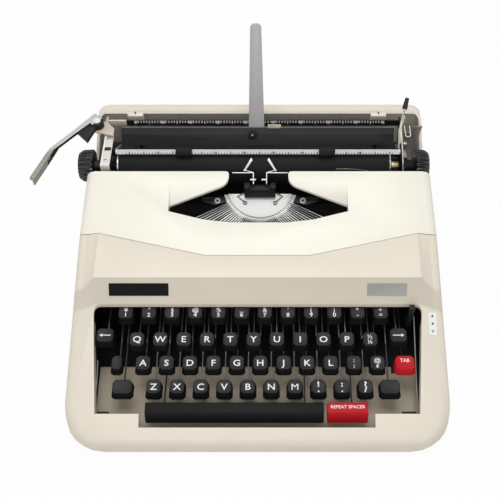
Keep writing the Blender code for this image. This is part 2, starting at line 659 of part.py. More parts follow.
def wire(name, points, radius, resolution=1):
    """A round wire through the points."""
    curve = bpy.data.curves.new(name, "CURVE")
    curve.dimensions = "3D"
    curve.bevel_depth = radius
    curve.bevel_resolution = resolution
    curve.use_fill_caps = True
    line = curve.splines.new("POLY")
    line.points.add(len(points) - 1)
    for point, place in zip(line.points, points):
        point.co = (*place, 1)
    holder = bpy.data.objects.new(name, curve)
    cutters.objects.link(holder)
    made = to_mesh(holder, Matrix.Identity(4))
    shape = bmesh.new()
    shape.from_mesh(made.data)
    bmesh.ops.triangulate(shape, faces=shape.faces)
    shape.to_mesh(made.data)
    shape.free()
    return made


def to_mesh(holder, place):
    """A curve object made a closed mesh object at its place."""
    depsgraph = bpy.context.evaluated_depsgraph_get()
    mesh = bpy.data.meshes.new_from_object(holder.evaluated_get(depsgraph))
    name = holder.name
    bpy.data.objects.remove(holder, do_unlink=True)
    shape = bmesh.new()
    shape.from_mesh(mesh)
    bmesh.ops.remove_doubles(shape, verts=shape.verts, dist=GAP / 100)
    bmesh.ops.transform(shape, matrix=place, verts=shape.verts)
    return from_bmesh(name, shape)


def combine(base, tool, operation):
    """Joins, cuts or intersects base with tool and uses the tool up."""
    change = base.modifiers.new(operation.lower(), "BOOLEAN")
    change.operation = operation
    change.object = tool
    bpy.context.view_layer.update()
    depsgraph = bpy.context.evaluated_depsgraph_get()
    mesh = bpy.data.meshes.new_from_object(base.evaluated_get(depsgraph))
    base.modifiers.clear()
    base.data = mesh
    bpy.data.objects.remove(tool, do_unlink=True)
    return base


def join(base, *tools):
    for tool in tools:
        combine(base, tool, "UNION")
    return base


def cut(base, *tools):
    for tool in tools:
        combine(base, tool, "DIFFERENCE")
    return base


def common(base, tool):
    return combine(base, tool, "INTERSECT")


def gather(name, things):
    """Loose shapes that don't touch, held in one object so that one Boolean takes them all."""
    shape = bmesh.new()
    for thing in things:
        shape.from_mesh(thing.data)
        bpy.data.objects.remove(thing, do_unlink=True)
    return from_bmesh(name, shape)


def piece(thing, name, material, origin=(0, 0, 0), smooth=None):
    """Names a finished shape, gives it its finish and puts its origin on its joint."""
    origin = Vector(origin)
    thing.name = name
    thing.data.name = name
    thing.data.transform(Matrix.Translation(-origin))
    thing.location = origin
    thing.parent = root
    thing.data.materials.clear()
    thing.data.materials.append(material)
    if smooth:
        thing.data.shade_smooth()
        thing.data.set_sharp_from_angle(angle=smooth)
    cutters.objects.unlink(thing)
    parts.objects.link(thing)
    thing.hide_render = False
    thing.display_type = "TEXTURED"
    return thing


ROUND = math.radians(35)


def arc(centre, radius, start, end, steps):
    """Points on a circle from one angle to another, ends included."""
    points = []
    for i in range(steps + 1):
        angle = start + (end - start) * i / steps
        points.append((centre[0] + radius * math.cos(angle), centre[1] + radius * math.sin(angle)))
    return points


def along(profile, y):
    """Height of a profile of (y, z) points at y."""
    for (y0, z0), (y1, z1) in zip(profile, profile[1:]):
        if y <= y1:
            return z0 + (z1 - z0) * (y - y0) / (y1 - y0)
    return profile[-1][1]


def lean(profile, y):
    """How much a wall's thickness grows when it is measured straight down at y."""
    for (y0, z0), (y1, z1) in zip(profile, profile[1:]):
        if y <= y1:
            return math.hypot(1, (z1 - z0) / (y1 - y0))
    return 1


# Casing, a loft of cross sections from front to back

RIDGE_HEIGHT = FRONT_HEIGHT + RIDGE_RISE
CENTRE_LINE = (
    (0, FRONT_HEIGHT),
    (RIDGE_DEPTH, RIDGE_HEIGHT),
    (WELL_REAR, WELL_REAR_HEIGHT),
    (CREASE_DEPTH, CREASE_HEIGHT),
    (COVER_REAR, CASING_HEIGHT),
    (CASING_DEPTH, CASING_HEIGHT),
)
SIDE_LINE = (
    (0, FRONT_HEIGHT),
    (RIDGE_DEPTH, RIDGE_HEIGHT),
    (WELL_REAR, WELL_SIDE_HEIGHT),
    (CREASE_DEPTH, CREASE_SIDE_HEIGHT),
    (SEAM_SIDE, SEAM_SIDE_HEIGHT),
    (COVER_REAR, CASING_HEIGHT),
    (CASING_DEPTH, CASING_HEIGHT),
)
CORNER_STEPS = 6
SHOULDER_STEPS = 3


def half_width(y, inset):
    """Half the casing's width at y, rounded at the corners in plan."""
    full = CASING_HALF_WIDTH - inset
    front = FRONT_CORNER - inset
    rear = max(REAR_CORNER - inset, OVERRUN)
    ahead = inset + front - y
    behind = y - (CASING_DEPTH - inset - rear)
    if ahead > 0:
        return full - front + math.sqrt(max(front ** 2 - ahead ** 2, 0))
    if behind > 0:
        return full - rear + math.sqrt(max(rear ** 2 - behind ** 2, 0))
    return full


def stations(inset):
    """Places of the cross sections, close together round the corners."""
    front = FRONT_CORNER - inset
    rear = max(REAR_CORNER - inset, OVERRUN)
    places = [y for y, z in SIDE_LINE[2:-1]]
    places.append(inset + RIDGE_DEPTH)
    for i in range(CORNER_STEPS + 1):
        turn = math.pi / 2 * i / CORNER_STEPS
        places.append(inset + front * (1 - math.cos(turn)))
        places.append(CASING_DEPTH - inset - rear * (1 - math.cos(turn)))
    places.sort()
    kept = places[:1]
    for y in places[1:]:
        if y - kept[-1] > GAP:
            kept.append(y)
    kept[-1] = places[-1]
    return kept


def section(y, inset, bottom):
    """One cross section of the casing as a ring of points."""
    wide = half_width(y, inset)
    middle = along(CENTRE_LINE, y - inset / 2) - inset * lean(CENTRE_LINE, y)
    side = along(SIDE_LINE, y - inset / 2) - inset * lean(SIDE_LINE, y)
    radius = max(min(SHOULDER_RADIUS - inset, (side - CASING_BOTTOM) / 2), GAP)
    edge = wide - SIDE_DRAFT * (side - radius - CASING_BOTTOM)
    right = [(wide, bottom)]
    right += arc((edge - radius, side - radius), radius, 0, math.pi / 2, SHOULDER_STEPS)
    right.append((wide - RIM_WIDTH + inset, middle))
    left = [(-x, z) for x, z in reversed(right)]
    return [(x, y, z) for x, z in right + left]


def casing_block(name, inset, bottom=CASING_BOTTOM):
    return loft(name, [section(y, inset, bottom) for y in stations(inset)])


def well_outline(grow):
    """Plan of the keyboard well, with the notch for the space bar in front."""
    rear = WELL_HALF_WIDTH_REAR + grow
    front = WELL_HALF_WIDTH_FRONT + grow
    corner = WELL_CORNER + grow
    back = WELL_REAR + grow
    points = [(-NOTCH_LEFT - grow, NOTCH_FRONT - grow), (NOTCH_RIGHT + grow, NOTCH_FRONT - grow)]
    points += [(NOTCH_RIGHT + grow, WELL_FRONT - grow), (front, WELL_FRONT - grow)]
    points += arc((rear - corner, back - corner), corner, 0, math.pi / 2, 3)
    points += arc((-rear + corner, back - corner), corner, math.pi / 2, math.pi, 3)
    points += [(-front, WELL_FRONT - grow), (-NOTCH_LEFT - grow, WELL_FRONT - grow)]
    return points


def flap_pocket(grow):
    """The wedge that the two flaps beside the type guide lie below."""
    crease = FLAP_CREASE + grow / 2
    crease_height = along(CENTRE_LINE, FLAP_CREASE) + grow / 2
    front = BASKET_SIDE
    outline = [
        (crease, crease_height - grow * math.hypot(1, FLAP_SLOPE)),
        (crease, CASING_HEIGHT + OVERRUN),
        (front, CASING_HEIGHT + OVERRUN),
        (front, crease_height - (crease - front) * FLAP_SLOPE - grow * math.hypot(1, FLAP_SLOPE)),
    ]
    half = BASKET_HALF + grow
    return slab("flap_pocket", outline, -half, half, "x")


def rounded_corner(before, corner, after, reach, steps=4):
    """Points that round off a corner, from reach before it to reach after it."""
    middle = Vector(corner)
    start = middle + (Vector(before) - middle).normalized() * reach
    end = middle + (Vector(after) - middle).normalized() * reach
    points = []
    for i in range(steps + 1):
        t = i / steps
        points.append(tuple(start * (1 - t) ** 2 + middle * (1 - t) * t * 2 + end * t ** 2))
    return points


def basket_opening():
    """Plan of the opening over the type basket."""
    flap_tip = (GUIDE_GAP_HALF, FLAP_INNER_END)
    flap_rear = (GUIDE_GAP_HALF, COVER_REAR)
    flap_side = (BASKET_HALF, FLAP_OUTER_END)
    right = [
        (0, BASKET_FRONT),
        (BASKET_FRONT_HALF, BASKET_FRONT),
        (BASKET_MID_HALF, BASKET_MID),
        (BASKET_HALF, BASKET_SIDE),
        flap_side,
        *rounded_corner(flap_side, flap_tip, flap_rear, FLAP_ROUND),
        *rounded_corner(flap_tip, flap_rear, (BASKET_HALF, COVER_REAR), FLAP_REAR_ROUND),
        (GUIDE_GAP_HALF + FLAP_REAR_ROUND, COVER_REAR + OVERRUN),
    ]
    left = [(-x, y) for x, y in reversed(right) if x > 0]
    return slab("basket_opening", right + left, CASING_BOTTOM, CASING_HEIGHT + OVERRUN)


def cover_space(grow):
    """The space that belongs to the top cover, as a shape ahead of the V seam and two sides."""
    rear = COVER_REAR + (OVERRUN if grow else 0)
    top = CASING_HEIGHT + OVERRUN
    side = SEAM_SIDE - grow
    centre = SEAM_CENTRE - grow
    reach = SEAM_BREAK + grow
    plan = [(-reach, side), (-SEAM_FLAT, centre), (SEAM_FLAT, centre), (reach, side), (reach, rear),
            (-reach, rear)]
    low = COVER_SIDE_BOTTOM - grow
    middle = slab("cover_middle", plan, low, top)
    crest = along(SIDE_LINE, SEAM_SIDE)
    ends = [(side - (top - crest) * SEAM_LEAN, top), (side + (crest - low) * SEAM_LEAN, low),
            (rear, low), (rear, top)]
    for sign, name in ((1, "cover_right"), (-1, "cover_left")):
        inner = sign * (SEAM_BREAK - GAP - grow)
        outer = sign * (CASING_HALF_WIDTH + OVERRUN)
        join(middle, slab(name, ends, min(inner, outer), max(inner, outer), "x"))
    return middle


def casing_shell(name):
    """The casing as one thin skin, before the top cover is parted from it."""
    shell = cut(casing_block(name, 0), flap_pocket(0))
    hollow = cut(casing_block("hollow", WALL, 0), flap_pocket(WALL))
    cut(shell, hollow)
    return cut(shell, basket_opening())


def body_shell():
    shell = casing_shell("body_shell")
    flange = slab("well_flange", well_outline(WALL), CASING_BOTTOM + GAP, CASING_HEIGHT)
    common(flange, casing_block("flange_top", GAP))
    cut(flange, casing_block("flange_hollow", FLANGE_DEPTH, 0))
    wide = CASING_HALF_WIDTH
    cut(flange, box("flange_rear", (-wide, FLANGE_END, 0), (wide, CASING_DEPTH, CASING_HEIGHT)))
    join(shell, flange)
    cut(shell, slab("well", well_outline(0), 0, CASING_HEIGHT))
    bay_front = COVER_REAR - OVERRUN
    bay_rear = CASING_DEPTH - REAR_RIM
    over = wide + OVERRUN
    top = CASING_HEIGHT + OVERRUN
    outline = [(bay_front, BAY_SIDE_HEIGHT), (BAY_SLOPE_START, BAY_SIDE_HEIGHT),
               (bay_rear, CASING_HEIGHT), (bay_rear, top), (bay_front, top)]
    cut(shell, slab("bay", outline, -over, over, "x"))
    cut(shell, cover_space(SEAM_GAP))
    return piece(shell, "body_shell", BEIGE, smooth=ROUND)


def cover_inner_side(z):
    """Half width inside the casing's side wall at height z."""
    return CASING_HALF_WIDTH - WALL - SIDE_DRAFT * (z - CASING_BOTTOM)


def top_cover():
    cover = common(casing_shell("top_cover"), cover_space(0))
    inner = PLATE_X - GAP
    outer = cover_inner_side(HINGE_Z) + WALL / 2
    for sign in (1, -1):
        pin = rod("hinge_pin", (sign * inner, HINGE_Y, HINGE_Z), (sign * outer, HINGE_Y, HINGE_Z),
                  HINGE_PIN_RADIUS, 10)
        join(cover, pin)
    return piece(cover, "top_cover", IVORY, (0, HINGE_Y, HINGE_Z), smooth=ROUND)


# Base tray with its feet

def plan_outline(inset, steps=5):
    """The casing's plan, as a rounded rectangle."""
    wide = CASING_HALF_WIDTH - inset
    front = FRONT_CORNER - inset
    rear = max(REAR_CORNER - inset, OVERRUN)
    low = inset
    high = CASING_DEPTH - inset
    points = arc((wide - front, low + front), front, -math.pi / 2, 0, steps)
    points += arc((wide - rear, high - rear), rear, 0, math.pi / 2, steps)
    points += arc((-wide + rear, high - rear), rear, math.pi / 2, math.pi, steps)
    points += arc((-wide + front, low + front), front, math.pi, 3 * math.pi / 2, steps)
    return points


BOSS_PLACES = [(sign * (PLATE_X + PLATE_THICKNESS / 2), y)
               for sign in (1, -1) for y in (PLATE_FRONT + BOSS_INSET, PLATE_REAR - BOSS_INSET)]


def base_tray():
    floor_top = TRAY_BOTTOM + TRAY_FLOOR
    rim_top = CASING_BOTTOM - GAP
    tray = slab("base_tray", plan_outline(TRAY_INSET), TRAY_BOTTOM, rim_top)
    cut(tray, slab("tray_hollow", plan_outline(TRAY_INSET + TRAY_WALL), floor_top, rim_top + OVERRUN))
    bosses = [rod("boss", (x, y, TRAY_BOTTOM + TRAY_FLOOR / 2), (x, y, PLATE_BOTTOM - GAP), BOSS_RADIUS)
              for x, y in BOSS_PLACES]
    feet = [rod("foot", (sign * FOOT_X, y, 0), (sign * FOOT_X, y, TRAY_BOTTOM + TRAY_FLOOR / 2),
                FOOT_RADIUS, 16)
            for sign in (1, -1) for y in (FOOT_FRONT, FOOT_REAR)]
    join(tray, gather("bosses", bosses), gather("feet", feet))
    return piece(tray, "base_tray", BEIGE, smooth=ROUND)


# Chassis: two side plates, a deck, a rear plate and the lever rod in one frame

def chassis():
    ear_front = HINGE_Y - EAR_FRONT
    ear_rear = HINGE_Y + EAR_REAR
    ear_top = HINGE_Z + EAR_RISE
    low_top = BAY_SIDE_HEIGHT - WALL
    slot = HINGE_PIN_RADIUS + GAP
    notch = arc((HINGE_Y, HINGE_Z), slot, 0, -math.pi, 5)
    clear = PLATE_CLEAR
    outline = [(PLATE_FRONT, PLATE_BOTTOM), (PLATE_REAR, PLATE_BOTTOM), (PLATE_REAR, low_top),
               (RAIL_FRONT + RAIL_DEPTH, low_top), (ear_rear, low_top), (ear_rear, ear_top)]
    outline += [(HINGE_Y + slot, ear_top)] + notch + [(HINGE_Y - slot, ear_top)]
    outline += [(ear_front, ear_top), (ear_front, along(SIDE_LINE, ear_front) - 2 * clear)]
    for y in (SEAM_SIDE, CREASE_DEPTH, WELL_REAR):
        outline.append((y, along(SIDE_LINE, y) - clear))
    outline.append((PLATE_FRONT, along(SIDE_LINE, PLATE_FRONT) - clear))
    edge = PLATE_X + PLATE_THICKNESS
    frame = slab("chassis", outline, PLATE_X, edge, "x")
    join(frame, box("deck", (-PLATE_X - PLATE_THICKNESS / 2, DECK_FRONT, DECK_Z),
                    (PLATE_X + PLATE_THICKNESS / 2, DECK_REAR, DECK_Z + DECK_THICKNESS)))
    join(frame, slab("left_plate", outline, -edge, -PLATE_X, "x"))
    reach = PLATE_X + PLATE_THICKNESS / 2
    join(frame, box("rear_deck", (-reach, REAR_DECK_FRONT, REAR_DECK_Z),
                    (reach, REAR_DECK_REAR, REAR_DECK_Z + DECK_THICKNESS)))
    bars = [rod("lever_rod", (-reach, LEVER_ROD_Y, LEVER_ROD_Z), (reach, LEVER_ROD_Y, LEVER_ROD_Z),
                LEVER_ROD_RADIUS, 10)]
    join(frame, gather("bars", bars))
    return piece(frame, "chassis", PAINT)


def carriage_rail():
    top = PLATEN_Z + BEAM_BOTTOM - GAP
    half = PLATE_X - GAP
    low = top - RAIL_HEIGHT
    rail = box("carriage_rail", (-half, RAIL_FRONT, low), (half, RAIL_FRONT + RAIL_DEPTH, top))
    groove = RAIL_HEIGHT / 4
    cut(rail, box("rail_groove", (-half - OVERRUN, RAIL_FRONT - OVERRUN, low + groove),
                  (half + OVERRUN, RAIL_FRONT + groove, top - groove)))
    legs = [box("rail_leg", (x - BOSS_RADIUS, RAIL_FRONT + groove * 2, REAR_DECK_Z + DECK_THICKNESS + GAP),
                (x + BOSS_RADIUS, RAIL_FRONT + RAIL_DEPTH - groove, low + groove / 2))
            for x in (-FOOT_X, FOOT_X)]
    join(rail, gather("rail_legs", legs))
    return piece(rail, "carriage_rail", STEEL)


def floor_height(y):
    return FLOOR_FRONT_HEIGHT + (y - FLOOR_FRONT) * FLOOR_SLOPE


def keyboard_floor():
    thick = FLOOR_THICKNESS
    seat = TRAY_BOTTOM + TRAY_FLOOR + GAP
    lip = FLOOR_FRONT + thick
    outline = [(FLOOR_FRONT, floor_height(FLOOR_FRONT)), (FLOOR_REAR, floor_height(FLOOR_REAR)),
               (FLOOR_REAR, floor_height(FLOOR_REAR) - thick), (lip, floor_height(lip) - thick),
               (lip, seat), (FLOOR_FRONT, seat)]
    plate = slab("keyboard_floor", outline, -FLOOR_HALF_WIDTH, FLOOR_HALF_WIDTH, "x")
    leg = FLOOR_LEG / 2
    leg_top = floor_height(FLOOR_REAR - FLOOR_LEG) - thick / 2
    legs = [box("floor_leg", (x - leg, FLOOR_REAR - FLOOR_LEG, seat), (x + leg, FLOOR_REAR - thick, leg_top))
            for x in (-FLOOR_HALF_WIDTH / 2, FLOOR_HALF_WIDTH / 2)]
    join(plate, gather("floor_legs", legs))
    return piece(plate, "keyboard_floor", TAN)


# Keys: a dished cap on a flat lever that hooks over the lever rod

def cap_ring(width, depth, corner, y, z, tilt, x=0):
    """A square ring with cut corners, leaning back by tilt."""
    half = width / 2
    deep = depth / 2
    flat = [(half, deep - corner), (half - corner, deep), (-half + corner, deep), (-half, deep - corner),
            (-half, -deep + corner), (-half + corner, -deep), (half - corner, -deep), (half, -deep + corner)]
    return [(x + u, y + v * math.cos(tilt), z + v * math.sin(tilt)) for u, v in flat]


def key_cap(name, y, z, width=CAP_TOP_WIDTH, x=0):
    """A cap with its top centre at (x, y, z)."""
    base_depth = CAP_TOP_DEPTH + CAP_FRONT_SETBACK + CAP_REAR_SETBACK
    shift = (CAP_REAR_SETBACK - CAP_FRONT_SETBACK) / 2
    skirt = CAP_BASE_WIDTH - CAP_TOP_WIDTH
    dish = CAP_CORNER / 2
    rings = [
        cap_ring(width + skirt, base_depth, CAP_CORNER, y + shift, z - CAP_HEIGHT, 0, x),
        cap_ring(width, CAP_TOP_DEPTH, CAP_CORNER, y, z, CAP_TILT, x),
        cap_ring(width - 2 * dish, CAP_TOP_DEPTH - 2 * dish, CAP_CORNER, y, z - CAP_DISH, CAP_TILT, x),
    ]
    return loft(name, rings)


def hook(pivot_y, pivot_z):
    """Rear end of a lever: a hook over the rod, drawn from its upper front to its lower front."""
    clear = LEVER_ROD_RADIUS + GAP
    points = arc((pivot_y, pivot_z), HOOK_RADIUS, math.radians(150), 0, 4)
    points += arc((pivot_y, pivot_z), clear, 0, math.pi, 4)
    return points


def lever_plate(name, x, front_y, cap_bottom, lever_z, pivot_y, pivot_z, hooked=True):
    """A flat lever on edge: a stem under the cap, a straight arm and a hook at the rod."""
    half = LEVER_HEIGHT / 2
    stem = LEVER_HEIGHT * 2 / 3
    outline = [(front_y - stem, cap_bottom), (front_y - stem, lever_z - half),
               (front_y + stem, lever_z - half)]
    if hooked:
        outline += list(reversed(hook(pivot_y, pivot_z)))
    else:
        outline += [(pivot_y, pivot_z - half), (pivot_y, pivot_z + half)]
    outline += [(front_y + stem, lever_z + half), (front_y + stem, cap_bottom)]
    low = x - LEVER_THICKNESS / 2
    return slab(name, outline, low, low + LEVER_THICKNESS, "x")


def key_shape(name, y, z, drop, width=CAP_TOP_WIDTH, pivot=(LEVER_ROD_Y, LEVER_ROD_Z), x=0, hooked=True):
    """A whole key in its own plane x, from its cap's top centre and the lever's depth below it."""
    cap = key_cap(name, y, z, width, x)
    bottom = z - CAP_HEIGHT + LEVER_HEIGHT / 3
    return join(cap, lever_plate("lever", x, y, bottom, z - drop, *pivot, hooked))


def row_places(centre, count):
    return [centre + KEY_PITCH * (i - (count - 1) / 2) for i in range(count)]


def loose_key_row(names, centre, y, z, drop):
    """Keys that move singly share one mesh and sit on the common lever rod."""
    first = None
    for name, x in zip(names, row_places(centre, len(names))):
        if first is None:
            first = piece(key_shape(name, y, z, drop), name, BLACK, (0, LEVER_ROD_Y, LEVER_ROD_Z))
            first.location.x = x
            continue
        copy = bpy.data.objects.new(name, first.data)
        copy.location = (x, LEVER_ROD_Y, LEVER_ROD_Z)
        copy.parent = root
        parts.objects.link(copy)


def joined_key_row(name, centre, count, y, z, drop, rod_y, rod_z):
    """A row whose levers share one turning rod, as one piece."""
    half = PLATE_X - GAP
    bar = rod(name, (-half, rod_y, rod_z), (half, rod_y, rod_z), LEVER_ROD_RADIUS, 10)
    keys = [key_shape("key", y, z, drop, pivot=(rod_y, rod_z), x=x, hooked=False)
            for x in row_places(centre, count)]
    join(bar, gather("keys", keys))
    return piece(bar, name, BLACK, (0, rod_y, rod_z))


def function_key(name, x, y, z, drop, width, material):
    shape = key_shape(name, y, z, drop, width)
    made = piece(shape, name, material, (0, LEVER_ROD_Y, LEVER_ROD_Z))
    made.location.x = x
    return made


def bar_section():
    """Cross section of the space bar: a sloping top, a steep front and a flat underside."""
    front = SPACE_CREASE_Y
    top = SPACE_CREASE_Z
    low = top - SPACE_FRONT_DROP
    return [(front, top), (front - SPACE_FRONT_LEAN, low), (front + SPACE_THICKNESS, low),
            (front + SPACE_TOP_DEPTH, top - SPACE_FRONT_DROP / 3),
            (front + SPACE_TOP_DEPTH, top + SPACE_TOP_RISE)]


def bar_key(name, left, right, arms, material):
    """A bar-shaped key carried by flat arms."""
    bar = slab(name, bar_section(), left, right, "x")
    half = LEVER_HEIGHT / 2
    front = SPACE_CREASE_Y + SPACE_THICKNESS / 2
    outline = [(front, ARM_FRONT_Z - half), (ARM_BEND_Y, ARM_BEND_Z - half)]
    outline += list(reversed(hook(LEVER_ROD_Y, LEVER_ROD_Z)))
    outline += [(ARM_BEND_Y, ARM_BEND_Z + half), (front, ARM_FRONT_Z + half)]
    plates = [slab("arm", outline, x - LEVER_THICKNESS / 2, x + LEVER_THICKNESS / 2, "x") for x in arms]
    join(bar, gather("arms", plates))
    return piece(bar, name, material, (0, LEVER_ROD_Y, LEVER_ROD_Z))


def ribbon_selector():
    """A slim lever that comes up through the rear edge of the keyboard well."""
    half = SELECTOR_WIDTH / 2
    thick = LEVER_HEIGHT
    outline = [(SELECTOR_KNOB_Y - thick, SELECTOR_KNOB_Z),
               (SELECTOR_KNOB_Y - thick, SELECTOR_KNOB_Z - 2 * thick),
               (SELECTOR_KNOB_Y, SELECTOR_PIVOT_Z + 2 * thick), (SELECTOR_PIVOT_Y, SELECTOR_PIVOT_Z - thick),
               (SELECTOR_PIVOT_Y + thick, SELECTOR_PIVOT_Z), (SELECTOR_PIVOT_Y, SELECTOR_PIVOT_Z + thick),
               (SELECTOR_KNOB_Y + thick, SELECTOR_PIVOT_Z + 3 * thick),
               (SELECTOR_KNOB_Y + thick / 2, SELECTOR_KNOB_Z - 2 * thick),
               (SELECTOR_KNOB_Y + thick / 2, SELECTOR_KNOB_Z)]
    lever = slab("ribbon_selector", outline, SELECTOR_X - half, SELECTOR_X + half, "x")
    join(lever, rod("selector_pin", (SELECTOR_X, SELECTOR_PIVOT_Y, SELECTOR_PIVOT_Z),
                    (PLATE_X - GAP, SELECTOR_PIVOT_Y, SELECTOR_PIVOT_Z), HINGE_PIN_RADIUS, 10))
    return piece(lever, "ribbon_selector", BLACK, (SELECTOR_X, SELECTOR_PIVOT_Y, SELECTOR_PIVOT_Z))


# Type segment with the fan of type bars

def on_segment(x, up, lift):
    """A point on the tilted segment: x across, up along the slope, lift off its face."""
    c = math.cos(SEGMENT_TILT)
    s = math.sin(SEGMENT_TILT)
    return (GUIDE_X + x, SEGMENT_TOP_Y + up * c - lift * s, SEGMENT_TOP_Z + up * s + lift * c)


SEGMENT_RADIUS = (SEGMENT_HALF_CHORD ** 2 + SEGMENT_SAGITTA ** 2) / (2 * SEGMENT_SAGITTA)
SEGMENT_CENTRE = SEGMENT_RADIUS - SEGMENT_SAGITTA


def segment_ring(radius, lift, drop=0, steps=18):
    """Outline of the segment below its chord at one height over its face."""
    span = math.acos((SEGMENT_CENTRE + drop) / radius)
    points = []
    for i in range(steps + 1):
        angle = -span + 2 * span * i / steps
        points.append(on_segment(radius * math.sin(angle), SEGMENT_CENTRE - radius * math.cos(angle), lift))
    return points


def type_segment():
    plate = loft("type_segment", [segment_ring(SEGMENT_RADIUS, 0),
                                  segment_ring(SEGMENT_RADIUS, -SEGMENT_PLATE - GAP)])
    body = loft("segment_body", [segment_ring(SEGMENT_BODY_RADIUS, -SEGMENT_PLATE, GAP),
                                 segment_ring(SEGMENT_BODY_RADIUS, -SEGMENT_BODY_DEPTH, GAP)])
    join(plate, body)
    wing = [(WING_INNER, -WING_THICKNESS), (WING_OUTER, -WING_DEPTH / 4), (WING_OUTER, -WING_DEPTH * 2 / 3),
            ((WING_INNER + WING_OUTER) / 2, -WING_DEPTH), (WING_INNER, -WING_DEPTH * 2 / 3)]
    for sign in (1, -1):
        rings = [[on_segment(sign * x, up, lift) for x, up in wing]
                 for lift in (-WING_LIFT, -WING_LIFT - WING_THICKNESS)]
        join(plate, loft("segment_wing", rings))
    bars = []
    for i in range(TYPE_BARS):
        angle = TYPE_FAN * (i / (TYPE_BARS - 1) - 1 / 2)
        inner = (SEGMENT_RADIUS + SEGMENT_BODY_RADIUS) / 2
        start = Vector(on_segment(inner * math.sin(angle), SEGMENT_CENTRE - inner * math.cos(angle),
                                  -SEGMENT_PLATE - TYPE_BAR_HEIGHT / 2))
        spread = angle * TYPE_SPREAD
        end = Vector((GUIDE_X + TYPE_REST_HALF * math.sin(spread),
                      TYPE_REST_Y - TYPE_REST_DEPTH * math.cos(spread), TYPE_REST_Z))
        run = end - start
        side = run.cross(Vector((0, 0, 1))).normalized() * TYPE_BAR_WIDTH / 2
        rise = side.cross(run).normalized() * TYPE_BAR_HEIGHT / 2
        rings = [[p + side + rise, p + side - rise, p - side - rise, p - side + rise] for p in (start, end)]
        bars.append(loft("type_bar", rings))
    join(plate, gather("type_bars", bars))
    foot = DECK_Z + DECK_THICKNESS + GAP
    half = SEGMENT_LEG_WIDTH / 2
    deep = SEGMENT_TOP_Y
    leg = box("segment_leg", (GUIDE_X - half, deep - SEGMENT_LEG_WIDTH / 2, foot),
              (GUIDE_X + half, deep, SEGMENT_TOP_Z - SEGMENT_BODY_DEPTH))
    join(plate, leg)
    return piece(plate, "type_segment", STEEL, smooth=ROUND)


def type_guide():
    """The block in front of the platen, with the two prongs that hold a card to it."""
    front = GUIDE_FRONT
    seat = (GUIDE_TOP * 3 + GUIDE_BOTTOM) / 4
    outline = [(-GUIDE_HALF, GUIDE_BOTTOM), (GUIDE_HALF, GUIDE_BOTTOM), (GUIDE_HALF, GUIDE_TOP),
               (GUIDE_HALF * 2 / 3, GUIDE_TOP), (GUIDE_HALF * 3 / 5, seat), (-GUIDE_HALF * 3 / 5, seat),
               (-GUIDE_HALF * 2 / 3, GUIDE_TOP), (-GUIDE_HALF, GUIDE_TOP)]
    rings = [[(GUIDE_X + x, y, z) for x, z in outline] for y in (front, GUIDE_REAR)]
    guide = loft("type_guide", rings)
    reach = PLATEN_RADIUS + PRONG_OFFSET
    step = reach + PRONG_STEP_OFFSET - PRONG_OFFSET
    step_y = PLATEN_Y - step * math.cos(PRONG_STEP_ANGLE)
    step_z = PLATEN_Z + step * math.sin(PRONG_STEP_ANGLE)
    for sign in (1, -1):
        near = GUIDE_X + sign * PRONG_FOOT_HALF
        foot_y = GUIDE_REAR - PRONG_RADIUS * 2
        join(guide, rod("prong_foot", (near, foot_y, seat - PRONG_RADIUS * 3),
                        (near, foot_y, seat + PRONG_RADIUS * 3), PRONG_RADIUS * 3 / 2, 8))
        points = [(near, foot_y, seat + PRONG_RADIUS * 2), (near, foot_y, seat + PRONG_RADIUS * 4),
                  (near, step_y, step_z)]
        for i in range(4):
            share = i / 3
            angle = PRONG_LOW_ANGLE + (PRONG_HIGH_ANGLE - PRONG_LOW_ANGLE) * share
            x = PRONG_HALF_LOW + (PRONG_HALF_HIGH - PRONG_HALF_LOW) * share
            points.append((GUIDE_X + sign * x, PLATEN_Y - reach * math.cos(angle),
                           PLATEN_Z + reach * math.sin(angle)))
        join(guide, wire("prong", points, PRONG_RADIUS))
        far = GUIDE_X + sign * PRONG_SIDE_HALF
        join(guide, rod("side_wire", (near, step_y, step_z), (far, step_y, step_z), PRONG_RADIUS * 3 / 4, 8))
    return piece(guide, "type_guide", BLACK)


def turned(name, profile, steps, centre):
    """A profile of (radius, height) points, top to bottom on its outside, turned about z."""
    mesh = bpy.data.meshes.new(name)
    mesh.from_pydata([(r, 0, z) for r, z in profile], [(i, i + 1) for i in range(len(profile) - 1)], [])
    thing = new_object(name, mesh)
    screw = thing.modifiers.new("turn", "SCREW")
    screw.steps = steps
    screw.render_steps = steps
    screw.use_merge_vertices = True
    screw.merge_threshold = GAP / 10
    bpy.context.view_layer.update()
    depsgraph = bpy.context.evaluated_depsgraph_get()
    thing.data = bpy.data.meshes.new_from_object(thing.evaluated_get(depsgraph))
    thing.modifiers.clear()
    thing.data.transform(Matrix.Translation(centre))
    return thing


def ribbon_spool(name, x):
    low = DECK_Z + DECK_THICKNESS + GAP
    high = low + SPOOL_HEIGHT
    profile = [(0, high), (SPOOL_RADIUS, high), (SPOOL_RADIUS, high - SPOOL_FLANGE),
               (SPOOL_RIBBON_RADIUS, high - SPOOL_FLANGE), (SPOOL_RIBBON_RADIUS, low + SPOOL_FLANGE),
               (SPOOL_RADIUS, low + SPOOL_FLANGE), (SPOOL_RADIUS, low), (0, low)]
    spool = turned(name, profile, 24, (x, SPOOL_Y, 0))
    return piece(spool, name, BLACK, (x, SPOOL_Y, 0), smooth=ROUND)


